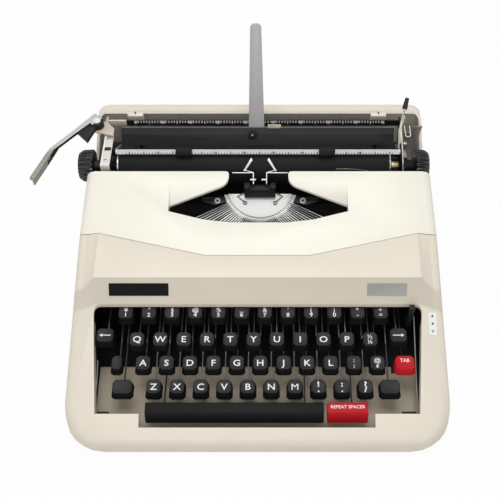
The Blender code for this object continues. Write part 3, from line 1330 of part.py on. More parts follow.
def mainspring_drum():
    low = REAR_DECK_Z + DECK_THICKNESS + GAP
    high = low + DRUM_HEIGHT
    edge = DRUM_RADIUS
    inner = DRUM_RADIUS - DRUM_GROOVE
    profile = [(0, high), (edge, high), (edge, high - DRUM_GROOVE), (inner, high - 2 * DRUM_GROOVE),
               (inner, low + 2 * DRUM_GROOVE), (edge, low + DRUM_GROOVE), (edge, low), (0, low)]
    drum = turned("mainspring_drum", profile, 24, (DRUM_X, DRUM_Y, 0))
    return piece(drum, "mainspring_drum", STEEL, (DRUM_X, DRUM_Y, 0), smooth=ROUND)


# Carriage, built in its own frame: y and z are measured from the platen's axis

def on_carriage(thing, name, material, origin=(0, 0, 0), smooth=None):
    """A finished piece moved from the carriage's frame to its place on the machine."""
    made = piece(thing, name, material, origin, smooth)
    made.location += Vector((0, PLATEN_Y, PLATEN_Z))
    return made


def end_plate(name, x):
    outline = [(END_PLATE_FRONT, END_PLATE_LOW), (BEAM_REAR, END_PLATE_LOW),
               (END_PLATE_REAR, END_PLATE_REAR_LOW), (END_PLATE_REAR, END_PLATE_RACK_HIGH),
               (BEAM_REAR, END_PLATE_REAR_HIGH),
               (END_PLATE_MID, END_PLATE_HIGH), (END_PLATE_FRONT, END_PLATE_HIGH)]
    plate = slab(name, outline, x, x + END_PLATE, "x")
    hole = SHAFT_RADIUS + GAP
    cut(plate, rod("shaft_hole", (x - OVERRUN, 0, 0), (x + END_PLATE + OVERRUN, 0, 0), hole, 12))
    return plate


def carriage_frame():
    frame = end_plate("carriage_frame", END_PLATE_LEFT)
    left = END_PLATE_LEFT + END_PLATE / 2
    right = END_PLATE_RIGHT + END_PLATE / 2
    join(frame, box("beam", (left, BEAM_FRONT, BEAM_BOTTOM), (right, BEAM_REAR, BEAM_TOP)))
    rack = box("rack", (left, RACK_Y - RACK_DEPTH / 2, RACK_BOTTOM),
               (right, RACK_Y + RACK_DEPTH / 2, RACK_TOP))
    join(frame, rack, end_plate("right_plate", END_PLATE_RIGHT))
    bracket_low = RETURN_BRACKET_Z
    bracket = [(RETURN_PIVOT_X - RETURN_HUB, RETURN_PIVOT_Y - RETURN_HUB),
               (END_PLATE_LEFT + RETURN_HUB * 3 / 2, RETURN_PIVOT_Y - 2 * RETURN_HUB),
               (END_PLATE_LEFT + RETURN_HUB * 3 / 2, RETURN_PIVOT_Y - RETURN_HUB / 2),
               (END_PLATE_LEFT + END_PLATE, RETURN_PIVOT_Y + RETURN_HUB),
               (RETURN_PIVOT_X - RETURN_HUB, RETURN_PIVOT_Y + RETURN_HUB)]
    join(frame, slab("lever_bracket", bracket, bracket_low - RETURN_BRACKET, bracket_low))
    cover_top = PAWL_COVER_Z + PAWL_COVER_THICKNESS
    cover = [(PAWL_COVER_FRONT, PAWL_COVER_Z - PAWL_COVER_DROP),
             (PAWL_COVER_FRONT + PAWL_COVER_THICKNESS, PAWL_COVER_Z - PAWL_COVER_DROP),
             (PAWL_COVER_FRONT + PAWL_COVER_THICKNESS, PAWL_COVER_Z), (PAWL_COVER_REAR, PAWL_COVER_Z),
             (PAWL_COVER_REAR, cover_top), (PAWL_COVER_FRONT, cover_top)]
    join(frame, slab("pawl_cover", cover, left, END_PLATE_LEFT + PAWL_COVER_WIDTH, "x"))
    rear = (left, PAWL_COVER_REAR - PAWL_COVER_THICKNESS, END_PLATE_HIGH)
    join(frame, box("pawl_cover_leg", rear, (END_PLATE_LEFT + END_PLATE * 2, PAWL_COVER_REAR, cover_top)))
    return on_carriage(frame, "carriage_frame", STEEL)


def platen():
    roller = rod("platen", (PLATEN_LEFT, 0, 0), (PLATEN_RIGHT, 0, 0), PLATEN_RADIUS, 32)
    shaft_left = rod("shaft_left", (KNOB_LEFT_INNER + GAP, 0, 0), (PLATEN_LEFT + OVERRUN, 0, 0),
                     SHAFT_RADIUS, 12)
    shaft_right = rod("shaft_right", (PLATEN_RIGHT - OVERRUN, 0, 0), (KNOB_RIGHT_INNER - GAP, 0, 0),
                      SHAFT_RADIUS, 12)
    join(roller, shaft_left, shaft_right)
    return on_carriage(roller, "platen", RUBBER, smooth=ROUND)


def knob(name, inner, outer):
    """A fluted knob that narrows to its outer end."""
    length = outer - inner
    count = KNOB_FLUTES * 2
    rings = []
    steps = ((0, KNOB_RADIUS - KNOB_FLUTE_DEPTH, 0), (KNOB_LIP_SHARE, KNOB_RADIUS, KNOB_FLUTE_DEPTH),
             (KNOB_TAPER_SHARE, KNOB_RADIUS - KNOB_FLUTE_DEPTH / 2, KNOB_FLUTE_DEPTH),
             (1, KNOB_END_RADIUS, 0))
    for share, radius, flute in steps:
        ring = []
        for i in range(count):
            angle = 2 * math.pi * i / count
            size = radius - (flute if i % 2 else 0)
            ring.append((inner + length * share, size * math.cos(angle), size * math.sin(angle)))
        rings.append(ring)
    return on_carriage(loft(name, rings), name, BLACK)


def line_space_ratchet():
    left = RATCHET_LEFT
    rings = []
    for x in (left, left + RATCHET_WIDTH):
        ring = []
        for i in range(RATCHET_TEETH):
            base = 2 * math.pi * i / RATCHET_TEETH
            for turn, size in ((0, RATCHET_RADIUS), (1 / 3, RATCHET_RADIUS - RATCHET_TOOTH)):
                angle = base + turn * 2 * math.pi / RATCHET_TEETH
                ring.append((x, size * math.cos(angle), size * math.sin(angle)))
        rings.append(ring)
    wheel = loft("line_space_ratchet", rings)
    bore = SHAFT_RADIUS + GAP
    cut(wheel, rod("bore", (left - OVERRUN, 0, 0), (left + RATCHET_WIDTH + OVERRUN, 0, 0), bore, 12))
    return on_carriage(wheel, "line_space_ratchet", STEEL)


FEED_REACH = PLATEN_RADIUS + FEED_RADIUS + GAP
FEED_Y = FEED_REACH * math.cos(FEED_ANGLE)
FEED_Z = FEED_REACH * math.sin(FEED_ANGLE)


def feed_roller():
    left = END_PLATE_LEFT + END_PLATE + GAP
    right = END_PLATE_RIGHT - GAP
    roller = rod("feed_roller", (left, FEED_Y, FEED_Z), (right, FEED_Y, FEED_Z), FEED_PIN_RADIUS, 10)
    fat = rod("feed_rubber", (PLATEN_LEFT, FEED_Y, FEED_Z), (PLATEN_RIGHT, FEED_Y, FEED_Z), FEED_RADIUS, 16)
    join(roller, fat)
    return on_carriage(roller, "feed_roller", RUBBER, (0, FEED_Y, FEED_Z), smooth=ROUND)


def bend_line():
    return ((TABLE_LOW_Y, TABLE_LOW_Z), (TABLE_BEND_Y, TABLE_BEND_Z), (TABLE_TOP_Y, TABLE_TOP_Z))


def thick_line(points, thickness):
    """A line of (y, z) points given a thickness below and behind it."""
    back = []
    for i, (y, z) in enumerate(points):
        before = points[max(i - 1, 0)]
        after = points[min(i + 1, len(points) - 1)]
        run = math.hypot(after[0] - before[0], after[1] - before[1])
        back.append((y + (after[1] - before[1]) / run * thickness,
                     z - (after[0] - before[0]) / run * thickness))
    return list(points) + back[::-1]


def paper_table():
    outline = thick_line(bend_line(), TABLE_THICKNESS)
    table = slab("paper_table", outline, TABLE_LEFT, TABLE_RIGHT, "x")
    foot = BEAM_TOP + GAP
    over_table = [(TABLE_LOW_Y - OVERRUN, TABLE_LOW_Z), (TABLE_BEND_Y, TABLE_BEND_Z),
                  (TABLE_TOP_Y, TABLE_TOP_Z), (TABLE_LOW_Y - OVERRUN, TABLE_TOP_Z)]
    for x in (TABLE_LEFT * TABLE_LEG_SHARE, TABLE_RIGHT * TABLE_LEG_SHARE):
        leg = box("table_leg", (x - STOP_LIP, BEAM_FRONT + STOP_LIP, foot),
                  (x + STOP_LIP, BEAM_REAR - STOP_LIP, TABLE_BEND_Z))
        cut(leg, slab("leg_top", over_table, x - OVERRUN, x + OVERRUN, "x"))
        join(table, leg)
    return on_carriage(table, "paper_table", PAINT)


TABLE_RUN = Vector((0, TABLE_TOP_Y - TABLE_BEND_Y, TABLE_TOP_Z - TABLE_BEND_Z)).normalized()
TABLE_BACK = Vector((0, TABLE_RUN.z, -TABLE_RUN.y))
ARM_PIVOT = Vector((ARM_PIVOT_X, TABLE_BEND_Y, TABLE_BEND_Z)) + TABLE_RUN * ARM_PIVOT_LIFT


def paper_support_arm():
    """A tapered blade behind the table's upper strip, swinging sideways about its rivet."""
    near = TABLE_BACK * (TABLE_THICKNESS + 2 * GAP)
    far = near + TABLE_BACK * ARM_THICKNESS
    across = Vector((1, 0, 0))
    base = ARM_BASE_WIDTH / 2
    tip = ARM_TIP_WIDTH / 2
    flat = arc((0, 0), base, math.pi, 2 * math.pi, 6)
    flat += [(tip, ARM_LENGTH - tip / 2), (tip / 2, ARM_LENGTH), (-tip / 2, ARM_LENGTH),
             (-tip, ARM_LENGTH - tip / 2)]
    rings = [[ARM_PIVOT + offset + across * u + TABLE_RUN * v for u, v in flat] for offset in (near, far)]
    return on_carriage(loft("paper_support_arm", rings), "paper_support_arm", GREY, ARM_PIVOT)


BAIL_REACH = PLATEN_RADIUS + BAIL_ROLLER_RADIUS + GAP
BAIL_Y = -BAIL_REACH * math.cos(BAIL_ANGLE)
BAIL_Z = BAIL_REACH * math.sin(BAIL_ANGLE)


def paper_bail():
    c = math.cos(BAIL_STRIP_TILT)
    s = math.sin(BAIL_STRIP_TILT)
    half = BAIL_STRIP / 2
    thin = BAIL_STRIP_THICKNESS / 2
    outline = [(BAIL_Y + u * c - v * s, BAIL_Z + u * s + v * c)
               for u, v in ((-half, -thin), (half, -thin), (half, thin), (-half, thin))]
    bail = slab("paper_bail", outline, BAIL_LEFT + BAIL_ARM / 2, BAIL_RIGHT - BAIL_ARM / 2, "x")
    wide = BAIL_ARM_WIDTH / 2
    top_y = BAIL_Y
    arm = [(top_y - wide, BAIL_Z - wide), (BAIL_PIVOT_Y - wide, BAIL_PIVOT_Z - wide),
           (BAIL_PIVOT_Y + wide, BAIL_PIVOT_Z - wide), (BAIL_PIVOT_Y + wide, BAIL_PIVOT_Z + wide),
           (top_y + wide, BAIL_Z + wide), (top_y - wide, BAIL_Z + wide)]
    for x in (BAIL_LEFT, BAIL_RIGHT - BAIL_ARM):
        join(bail, slab("bail_arm", arm, x, x + BAIL_ARM, "x"))
    spans = ((BAIL_LEFT - GAP * 2, BAIL_LEFT + BAIL_ARM / 2),
             (BAIL_RIGHT - BAIL_ARM / 2, END_PLATE_RIGHT - GAP))
    for start, end in spans:
        join(bail, rod("bail_pin", (start, BAIL_PIVOT_Y, BAIL_PIVOT_Z), (end, BAIL_PIVOT_Y, BAIL_PIVOT_Z),
                       wide * 2 / 3, 8))
    return on_carriage(bail, "paper_bail", STEEL, (0, BAIL_PIVOT_Y, BAIL_PIVOT_Z))


def bail_roller(name, x):
    half = BAIL_ROLLER_WIDTH / 2
    roller = rod(name, (x - half, BAIL_Y, BAIL_Z), (x + half, BAIL_Y, BAIL_Z), BAIL_ROLLER_RADIUS, 20)
    cut(roller, rod("bore", (x - half - OVERRUN, BAIL_Y, BAIL_Z), (x + half + OVERRUN, BAIL_Y, BAIL_Z),
                    BAIL_BORE, 10))
    return on_carriage(roller, name, RUBBER, (x, BAIL_Y, BAIL_Z), smooth=ROUND)


def return_lever():
    """A flat hub, a broad arm bent down to the front, a web beside the hub and a skirt under the tip."""
    low = RETURN_BRACKET_Z + GAP
    high = RETURN_ARM_Z + RETURN_ARM_THICKNESS
    pivot = (RETURN_PIVOT_X, RETURN_PIVOT_Y)
    hub = rod("return_lever", (*pivot, low), (*pivot, high), RETURN_HUB, 16)
    tail = Vector((RETURN_TAIL_X, RETURN_TAIL_Y))
    bend = Vector((RETURN_BEND_X, RETURN_BEND_Y))
    tip = Vector((RETURN_TIP_X, RETURN_TIP_Y))
    points = [tail, tail.lerp(bend, 1 / 2), bend, tip]
    widths = [RETURN_TAIL_WIDTH_SHARE, 1, 1, 1]
    left = []
    right = []
    for i, point in enumerate(points):
        run = (points[min(i + 1, 3)] - points[max(i - 1, 0)]).normalized()
        side = Vector((-run.y, run.x)) * RETURN_ARM_WIDTH * widths[i] / 2
        left.append(point + side)
        right.append(point - side)
    outline = [tuple(p) for p in right + left[::-1]]
    join(hub, slab("lever_arm", outline, RETURN_ARM_Z, high))
    web = [tuple(tail), tuple(tail.lerp(bend, RETURN_WEB_SHARE)), (RETURN_WEB_X, RETURN_WEB_Y),
           (RETURN_PIVOT_X, RETURN_PIVOT_Y - RETURN_HUB * 2 / 3)]
    join(hub, slab("lever_web", web, low, high - RETURN_ARM_THICKNESS / 2))
    rings = []
    places = ((left[1].lerp(left[2], 1 - RETURN_SKIRT_SHARE), RETURN_ARM_THICKNESS / 2),
              (left[2].lerp(left[3], RETURN_SKIRT_SHARE), RETURN_SKIRT), (left[3], RETURN_SKIRT))
    run = (tip - bend).normalized()
    inward = Vector((run.y, -run.x)) * RETURN_SKIRT_THICKNESS
    for place, drop in places:
        outer = place + inward / 2
        inner = outer + inward
        top = RETURN_ARM_Z + RETURN_ARM_THICKNESS / 2
        rings.append([(*outer, top), (*inner, top), (*inner, top - drop), (*outer, top - drop)])
    join(hub, loft("lever_skirt", rings))
    return on_carriage(hub, "return_lever", STEEL, (*pivot, low), smooth=ROUND)


def paper_release_lever():
    points = [(RELEASE_X, RELEASE_PIVOT_Y, RELEASE_PIVOT_Z), (RELEASE_X, RELEASE_KINK_Y, RELEASE_KINK_Z),
              (RELEASE_TOP_X, RELEASE_TOP_Y, RELEASE_TOP_Z)]
    lever = wire("paper_release_lever", points, RELEASE_WIRE, 2)
    run = (Vector(points[2]) - Vector(points[1])).normalized()
    start = Vector(points[2]) - run * RELEASE_WIRE
    end = start + run * RELEASE_CAP_LENGTH
    join(lever, rod("release_cap", start, end, RELEASE_CAP_RADIUS, 10, RELEASE_CAP_RADIUS * 3 / 4))
    return on_carriage(lever, "paper_release_lever", CREAM, points[0])


def carriage_release_lever():
    left = CARRIAGE_RELEASE_LEFT
    right = CARRIAGE_RELEASE_RIGHT
    y = CARRIAGE_RELEASE_Y
    z = CARRIAGE_RELEASE_Z
    rise = CARRIAGE_RELEASE_RISE
    thick = CARRIAGE_RELEASE_THICKNESS
    lever = rod("carriage_release_lever", (left, y, z), (right, y, z), thick, 8)
    low = z - CARRIAGE_RELEASE_DROP
    outline = [(y - thick / 2, low), (y + thick / 2, low), (y + thick / 2, z),
               (y - CARRIAGE_RELEASE_DEPTH + thick, z + rise), (y - CARRIAGE_RELEASE_DEPTH, z + rise),
               (y - thick / 2, z)]
    join(lever, slab("release_plate", outline, (left + right) / 2, right, "x"))
    return on_carriage(lever, "carriage_release_lever", GREY, (left, y, z))


def margin_stop(name, x):
    """A stop that rides on the rack's top edge and hooks over its back."""
    half = STOP_WIDTH / 2
    low = RACK_TOP + GAP
    front = RACK_Y - RACK_DEPTH / 2
    rear = front + STOP_DEPTH
    behind = RACK_Y + RACK_DEPTH / 2 + GAP
    outline = [(front, low), (behind, low), (behind, low - STOP_HOOK), (rear, low - STOP_HOOK),
               (rear, low + STOP_HEIGHT), ((front + rear) / 2, low + STOP_HEIGHT + STOP_LIP),
               (front - STOP_LIP, low + STOP_HEIGHT)]
    return on_carriage(slab(name, outline, x - half, x + half, "x"), name, CREAM, (x, RACK_Y, low))


TOP_ROW_NAMES = ["key_q", "key_w", "key_e", "key_r", "key_t", "key_y",
                 "key_u", "key_i", "key_o", "key_p", "key_half"]
HOME_ROW_NAMES = ["key_a", "key_s", "key_d", "key_f", "key_g", "key_h",
                  "key_j", "key_k", "key_l", "key_colon", "key_at"]

body_shell()
top_cover()
base_tray()
chassis()
carriage_rail()
keyboard_floor()
loose_key_row(HOME_ROW_NAMES, HOME_ROW_X, HOME_ROW_Y, HOME_ROW_Z, HOME_STEM_DROP)
loose_key_row(TOP_ROW_NAMES, TOP_ROW_X, TOP_ROW_Y, TOP_ROW_Z, TOP_STEM_DROP)
joined_key_row("bottom_row_keys", BOTTOM_ROW_X, BOTTOM_ROW_KEYS, BOTTOM_ROW_Y, BOTTOM_ROW_Z, BOTTOM_STEM_DROP,
               BOTTOM_ROD_Y, BOTTOM_ROD_Z)
joined_key_row("number_row_keys", NUMBER_ROW_X, NUMBER_ROW_KEYS, NUMBER_ROW_Y, NUMBER_ROW_Z, NUMBER_STEM_DROP,
               NUMBER_ROD_Y, NUMBER_ROD_Z)
function_key("shift_key_left", SHIFT_LEFT_X, BOTTOM_ROW_Y, BOTTOM_ROW_Z, BOTTOM_STEM_DROP, SHIFT_WIDTH, BLACK)
function_key("shift_key_right", SHIFT_RIGHT_X, BOTTOM_ROW_Y, BOTTOM_ROW_Z, BOTTOM_STEM_DROP, SHIFT_WIDTH,
             BLACK)
function_key("shift_lock", LOCK_X, HOME_ROW_Y, HOME_ROW_Z, HOME_STEM_DROP, LOCK_WIDTH, BLACK)
function_key("tab_key", TAB_X, HOME_ROW_Y, HOME_ROW_Z, HOME_STEM_DROP, TAB_WIDTH, RED)
function_key("backspace_key", BACKSPACE_X, ARROW_Y, ARROW_Z, TOP_STEM_DROP, ARROW_WIDTH, BLACK)
function_key("margin_release_key", MARGIN_RELEASE_X, ARROW_Y, ARROW_Z, TOP_STEM_DROP, ARROW_WIDTH, BLACK)
bar_key("space_bar", SPACE_LEFT, SPACE_RIGHT, (SPACE_ARM_LEFT, SPACE_ARM_RIGHT), BLACK)
bar_key("repeat_spacer", REPEAT_LEFT, REPEAT_RIGHT, (REPEAT_ARM,), RED)
ribbon_selector()
type_segment()
type_guide()
ribbon_spool("ribbon_spool_left", -SPOOL_X)
ribbon_spool("ribbon_spool_right", SPOOL_X)
mainspring_drum()
carriage_frame()
platen()
knob("platen_knob_left", KNOB_LEFT_INNER, KNOB_LEFT_OUTER)
knob("platen_knob_right", KNOB_RIGHT_INNER, KNOB_RIGHT_OUTER)
line_space_ratchet()
feed_roller()
paper_table()
paper_support_arm()
paper_bail()
bail_roller("bail_roller_left", BAIL_ROLLER_LEFT)
bail_roller("bail_roller_right", BAIL_ROLLER_RIGHT)
return_lever()
paper_release_lever()
carriage_release_lever()
margin_stop("margin_stop_left", STOP_LEFT_X)
margin_stop("margin_stop_right", STOP_RIGHT_X)
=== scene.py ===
# %% [markdown]
# # A portable manual typewriter
# This lesson dresses a CAD model of a small typewriter. The CAD pieces stay as they are: each one gets a
# merged copy with softened edges and a procedural finish, and small parts such as key legends, scale marks
# and labels are added on top.

import json
import math

import bmesh
import bpy
from mathutils import Euler, Matrix, Vector


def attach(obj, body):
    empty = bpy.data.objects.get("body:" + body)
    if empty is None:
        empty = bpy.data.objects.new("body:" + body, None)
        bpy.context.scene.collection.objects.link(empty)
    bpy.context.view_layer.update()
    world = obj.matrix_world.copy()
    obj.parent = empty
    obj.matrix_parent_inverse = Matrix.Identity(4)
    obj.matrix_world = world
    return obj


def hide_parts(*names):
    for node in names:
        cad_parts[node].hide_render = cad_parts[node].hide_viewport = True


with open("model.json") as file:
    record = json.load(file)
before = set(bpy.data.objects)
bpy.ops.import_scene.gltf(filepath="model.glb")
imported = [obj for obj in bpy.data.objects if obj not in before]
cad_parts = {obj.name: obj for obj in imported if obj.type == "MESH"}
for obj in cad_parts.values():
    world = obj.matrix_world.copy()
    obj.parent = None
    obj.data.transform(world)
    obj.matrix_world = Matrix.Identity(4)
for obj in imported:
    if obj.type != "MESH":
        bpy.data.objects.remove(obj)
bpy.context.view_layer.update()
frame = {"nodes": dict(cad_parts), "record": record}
bodies = frame["record"]["behaviour"]["bodies"]
body_of = {node: body for body, nodes in bodies.items() for node in nodes}
print("CAD pieces:", len(frame["nodes"]))

# %% [markdown]
# The machine was measured from the front left of its casing in millimetres, x to the right, y to the back
# and z up. The row frame has its origin under the middle of the outline, so one helper turns casing
# millimetres into row metres.

# %% Casing millimetres to row metres
MM = 0.001
MIDDLE = Vector((0.01855, -0.153, 0))


def at(x, y, z):
    """A point in casing millimetres as a row point in metres."""
    return Vector((x, y, z)) * MM + MIDDLE


print("Front middle of the casing:", at(0, 0, 0))

# %% [markdown]
# Materials are built from node trees. Wiring dozens of Math nodes by hand is slow to write and hard to read,
# so a small class wraps a socket, and masks can be written as ordinary sums and products.

# %% A socket that can be used in sums


class Signal:
    """One output socket of a node tree."""

    def __init__(self, nodes, socket):
        self.nodes = nodes
        self.socket = socket

    def math(self, operation, other=None, flipped=False):
        values = [self] if other is None else [other, self] if flipped else [self, other]
        return self.nodes.node("ShaderNodeMath", {"operation": operation}, values)

    def __add__(self, other):
        return self.math("ADD", other)

    def __radd__(self, other):
        return self.math("ADD", other)

    def __sub__(self, other):
        return self.math("SUBTRACT", other)

    def __rsub__(self, other):
        return self.math("SUBTRACT", other, True)

    def __mul__(self, other):
        return self.math("MULTIPLY", other)

    def __rmul__(self, other):
        return self.math("MULTIPLY", other)

    def __truediv__(self, other):
        return self.math("DIVIDE", other)

    def __rtruediv__(self, other):
        return self.math("DIVIDE", other, True)

    def __gt__(self, other):
        return self.math("GREATER_THAN", other)

    def __lt__(self, other):
        return self.math("LESS_THAN", other)

    def __or__(self, other):
        return self.math("MAXIMUM", other)

    def wave(self):
        return self.math("SINE")

    def size(self):
        return self.math("ABSOLUTE")

    def part(self):
        """What is left after the whole number is taken off."""
        return self.math("FRACT")


print("Sums of sockets ready")

# %% [markdown]
# One method adds every node: it takes the node's type, its settings and what goes into its sockets. A finish
# is one material. It starts with the values of its shader, and what changes over the surface is linked to
# them later. Patterns read Object coordinates, which are real distances on these pieces.

# %% Nodes and finishes


class Nodes:
    """A node tree that nodes are added to."""

    def __init__(self, tree):
        self.tree = tree

    def node(self, kind, settings=None, values=None, output=0):
        """Adds a node, sets it, then fills or links its inputs."""
        made = self.tree.nodes.new(kind)
        for name, value in (settings or {}).items():
            setattr(made, name, value)
        pairs = values.items() if isinstance(values, dict) else enumerate(values or [])
        for key, value in pairs:
            if isinstance(value, Signal):
                self.link(value, made.inputs[key])
            else:
                made.inputs[key].default_value = value
        return Signal(self, made.outputs[output])

    def link(self, signal, socket):
        """Leads a signal into an input socket."""
        self.tree.links.new(signal.socket, socket)


class Finish(Nodes):
    """A material with one Principled shader and Object coordinates."""

    def __init__(self, name, colour, roughness, metallic=0.0, shine=0.5):
        self.material = bpy.data.materials.new(name)
        self.material.use_nodes = True
        super().__init__(self.material.node_tree)
        self.shader = self.tree.nodes["Principled BSDF"]
        self.shader.inputs["Metallic"].default_value = metallic
        self.shader.inputs["Roughness"].default_value = roughness
        self.shader.inputs["Specular IOR Level"].default_value = shine
        self.shader.inputs["Base Color"].default_value = (*colour, 1)
        self.place = self.node("ShaderNodeTexCoord", output="Object")

    def axis(self, index):
        """One coordinate of the shaded point in casing millimetres."""
        return (self.node("ShaderNodeSeparateXYZ", {}, [self.place], index) - MIDDLE[index]) / MM

    def noise(self, size_mm, detail):
        """Noise whose patches are about size_mm across."""
        return self.node("ShaderNodeTexNoise", {}, {"Vector": self.place, "Scale": 1 / (size_mm * MM),
                                                    "Detail": detail})

    def blend(self, mask, first, second):
        """Colour first where mask is 0 and second where it is 1."""
        first, second = (value if isinstance(value, Signal) else (*value, 1) for value in (first, second))
        return self.node("ShaderNodeMix", {"data_type": "RGBA"}, {0: mask, 6: first, 7: second}, 2)

    def set(self, name, signal):
        """Leads a signal into one input of the shader."""
        self.link(signal, self.shader.inputs[name])

    def bump(self, height, distance_mm, strength):
        self.set("Normal", self.node("ShaderNodeBump", {}, {"Height": height, "Distance": distance_mm * MM,
                                                            "Strength": strength}))


print("Finishes can be made")

# %% [markdown]
# Moulded ABS has a fine spark-eroded grain, an almost even colour that has drifted a little with age, and a
# soft sheen. A coarse noise shifts the colour by a few per cent, a fine one gives the grain.

# %% Plastic finishes
STEEP_FRONT, STEEP_REAR = 100, 112
FADE_FRONT, FADE_REAR = 3, 4


def plastic(name, colour, roughness, drift=0.04, grain=0.02, grain_size=0.45, shine=0.5, band=None):
    """Moulded plastic with a slight drift in colour and a fine grain. A band's colour is painted shade beside
    the steep part of the panel, and fades towards its front, its rear and the upright side."""
    finish = Finish(name, colour, roughness, shine=shine)
    dark = [c * (1 - drift) for c in colour]
    light = [min(c * (1 + drift), 1) for c in colour]
    base = finish.blend(finish.noise(35, 4), dark, light)
    # The band is painted shade: the colour turns to a darker beige beside the steep panel.
    if band:
        y = finish.axis(1)
        facing = finish.node("ShaderNodeNewGeometry", output="Normal")
        up = finish.node("ShaderNodeSeparateXYZ", {}, [facing], output="Z")
        away = ((STEEP_FRONT - y) / FADE_FRONT) | ((y - STEEP_REAR) / FADE_REAR) | ((0.75 - up) / 0.4)
        base = finish.blend(1 - away, base, band)
    finish.set("Base Color", base)
    fine = finish.noise(grain_size, 3)
    finish.set("Roughness", roughness - 0.06 + 0.08 * finish.noise(12, 3) + 0.05 * fine)
    finish.bump(fine, grain, 0.7)
    return finish.material


IVORY = plastic("ivory_cover_plastic", (0.86, 0.835, 0.735), 0.42)
BEIGE = plastic("beige_casing_plastic", (0.765, 0.70, 0.59), 0.45)
BEIGE_PAINTED_SHADE = plastic("beige_casing_plastic_painted_shade", (0.605, 0.55, 0.45), 0.5)
BEIGE_FLANK_SHADE_BAND = plastic("beige_casing_plastic_flank_painted_shade", (0.765, 0.70, 0.59), 0.45, band=(0.63, 0.575, 0.48))
BLACK = plastic("black_key_plastic", (0.0145, 0.0145, 0.0155), 0.5, 0.2, 0.008, shine=0.3)
BLACK_BAR = plastic("black_bar_plastic", (0.009, 0.009, 0.010), 0.55, 0.2, 0.008, shine=0.15)
BLACK_SIDE_PAINTED_SHADE = plastic("black_key_painted_shade_sides", (0.004, 0.004, 0.0045), 0.6, 0.2, 0.008, shine=0.12)
RED = plastic("red_key_plastic", (0.50, 0.007, 0.014), 0.5, 0.08, 0.008, shine=0.18)
CREAM = plastic("cream_stop_plastic", (0.74, 0.68, 0.57), 0.4)
NOTCH = plastic("notch_shadow", (0.03, 0.028, 0.025), 0.6, shine=0.2)
LABEL = plastic("white_label_film", (0.86, 0.86, 0.85), 0.35, 0.01, 0.004)
BLACK_LABEL = plastic("black_blank_plate", (0.007, 0.007, 0.007), 0.6, 0.2, 0.004, shine=0.12)
INK = plastic("white_legend_ink", (0.80, 0.80, 0.79), 0.5, 0.02, 0.002)
DARK_INK = plastic("dark_label_ink", (0.03, 0.03, 0.03), 0.5, 0.1, 0.002)
RED_INK = plastic("red_label_ink", (0.45, 0.10, 0.08), 0.5, 0.1, 0.002)
RUBBER = plastic("platen_rubber", (0.012, 0.012, 0.013), 0.6, 0.2, 0.01, 0.6, shine=0.15)
print("Plastics:", len(bpy.data.materials))

# %% [markdown]
# The working parts are bright, blued or painted steel. Steel shows fine streaks and scattered wear, which a
# small noise gives to the colour, the roughness and a light bump.

# %% Metal finishes


def metal(name, colour, roughness, metallic=1.0, wear=0.12, shine=0.5):
    """Steel or lacquer with cloudy wear and fine scratches."""
    finish = Finish(name, colour, roughness, metallic, shine)
    clouds = finish.noise(6, 4)
    fine = finish.noise(0.4, 2)
    dark = [c * (1 - wear) for c in colour]
    light = [min(c * (1 + wear), 1) for c in colour]
    finish.set("Base Color", finish.blend(clouds, dark, light))
    finish.set("Roughness", roughness - 0.08 + 0.12 * clouds + 0.06 * fine)
    finish.bump(fine, 0.006, 0.5)
    return finish.material


STEEL = metal("bright_steel", (0.70, 0.70, 0.69), 0.34)
DARK_STEEL = metal("dark_steel", (0.10, 0.10, 0.10), 0.4)
LEVER_STEEL = metal("lever_steel", (0.17, 0.17, 0.16), 0.42, 0.8)
TYPE_BAR_HIGHLIGHT = metal("type_bar_steel_painted_highlight", (0.52, 0.52, 0.51), 0.42)
SILVER = metal("silver_lacquer", (0.66, 0.66, 0.65), 0.38, 0.35, 0.05)
DARK_BROWN = metal("dark_brown_enamel", (0.045, 0.034, 0.026), 0.45, 0.0, 0.2)
WHITE_STEEL = metal("satin_nickel", (0.86, 0.86, 0.84), 0.5, 0.25, 0.05)
BRASS = metal("brass_sleeve", (0.78, 0.62, 0.36), 0.35)
PAINT = metal("black_enamel", (0.012, 0.012, 0.013), 0.5, 0.0, 0.25, 0.3)
TABLE_PAINTED_LIGHT = metal("paper_table_enamel_painted_light", (0.022, 0.022, 0.023), 0.5, 0.0, 0.2, 0.4)
TABLE_EDGE_HIGHLIGHT = metal("paper_table_edge_painted_highlight", (0.30, 0.30, 0.29), 0.4, 0.3, 0.2)
GREY = metal("grey_lacquer", (0.33, 0.33, 0.32), 0.42, 0.1, 0.06)
GREY_BROWN = metal("brown_grey_lacquer", (0.23, 0.20, 0.165), 0.42, 0.2, 0.1)
PINK_BEIGE = metal("pink_beige_lacquer", (0.60, 0.52, 0.44), 0.45, 0.1, 0.06)
GREY_GREEN = metal("grey_green_lacquer", (0.30, 0.32, 0.27), 0.45, 0.1, 0.08)
TAN = metal("tan_grey_lacquer", (0.44, 0.385, 0.295), 0.55, 0.0, 0.1)
WHITE_PAINT = metal("white_lacquer", (0.72, 0.70, 0.66), 0.4, 0.0, 0.06)
PLATE_GREY = metal("grey_blank_plate", (0.345, 0.345, 0.32), 0.45, 0.1, 0.03)
print("Finishes:", len(bpy.data.materials))

# %% [markdown]
# Four finishes carry marks. The margin rack has white ticks every tenth of an inch and a white pointer every
# inch, and the scale on the paper bail has grey ticks. The turning knobs have fine grooves around their axis,
# and the paper support has fine pressed lines. Painting the marks by coordinates keeps them sharp at any size.

# %% Finishes with marks
INCH = 25.4
TENTH, HALF_INCH = INCH / 10, INCH / 2
SCALE_START = -114.2
SHAFT_Y, SHAFT_Z = 237, 95


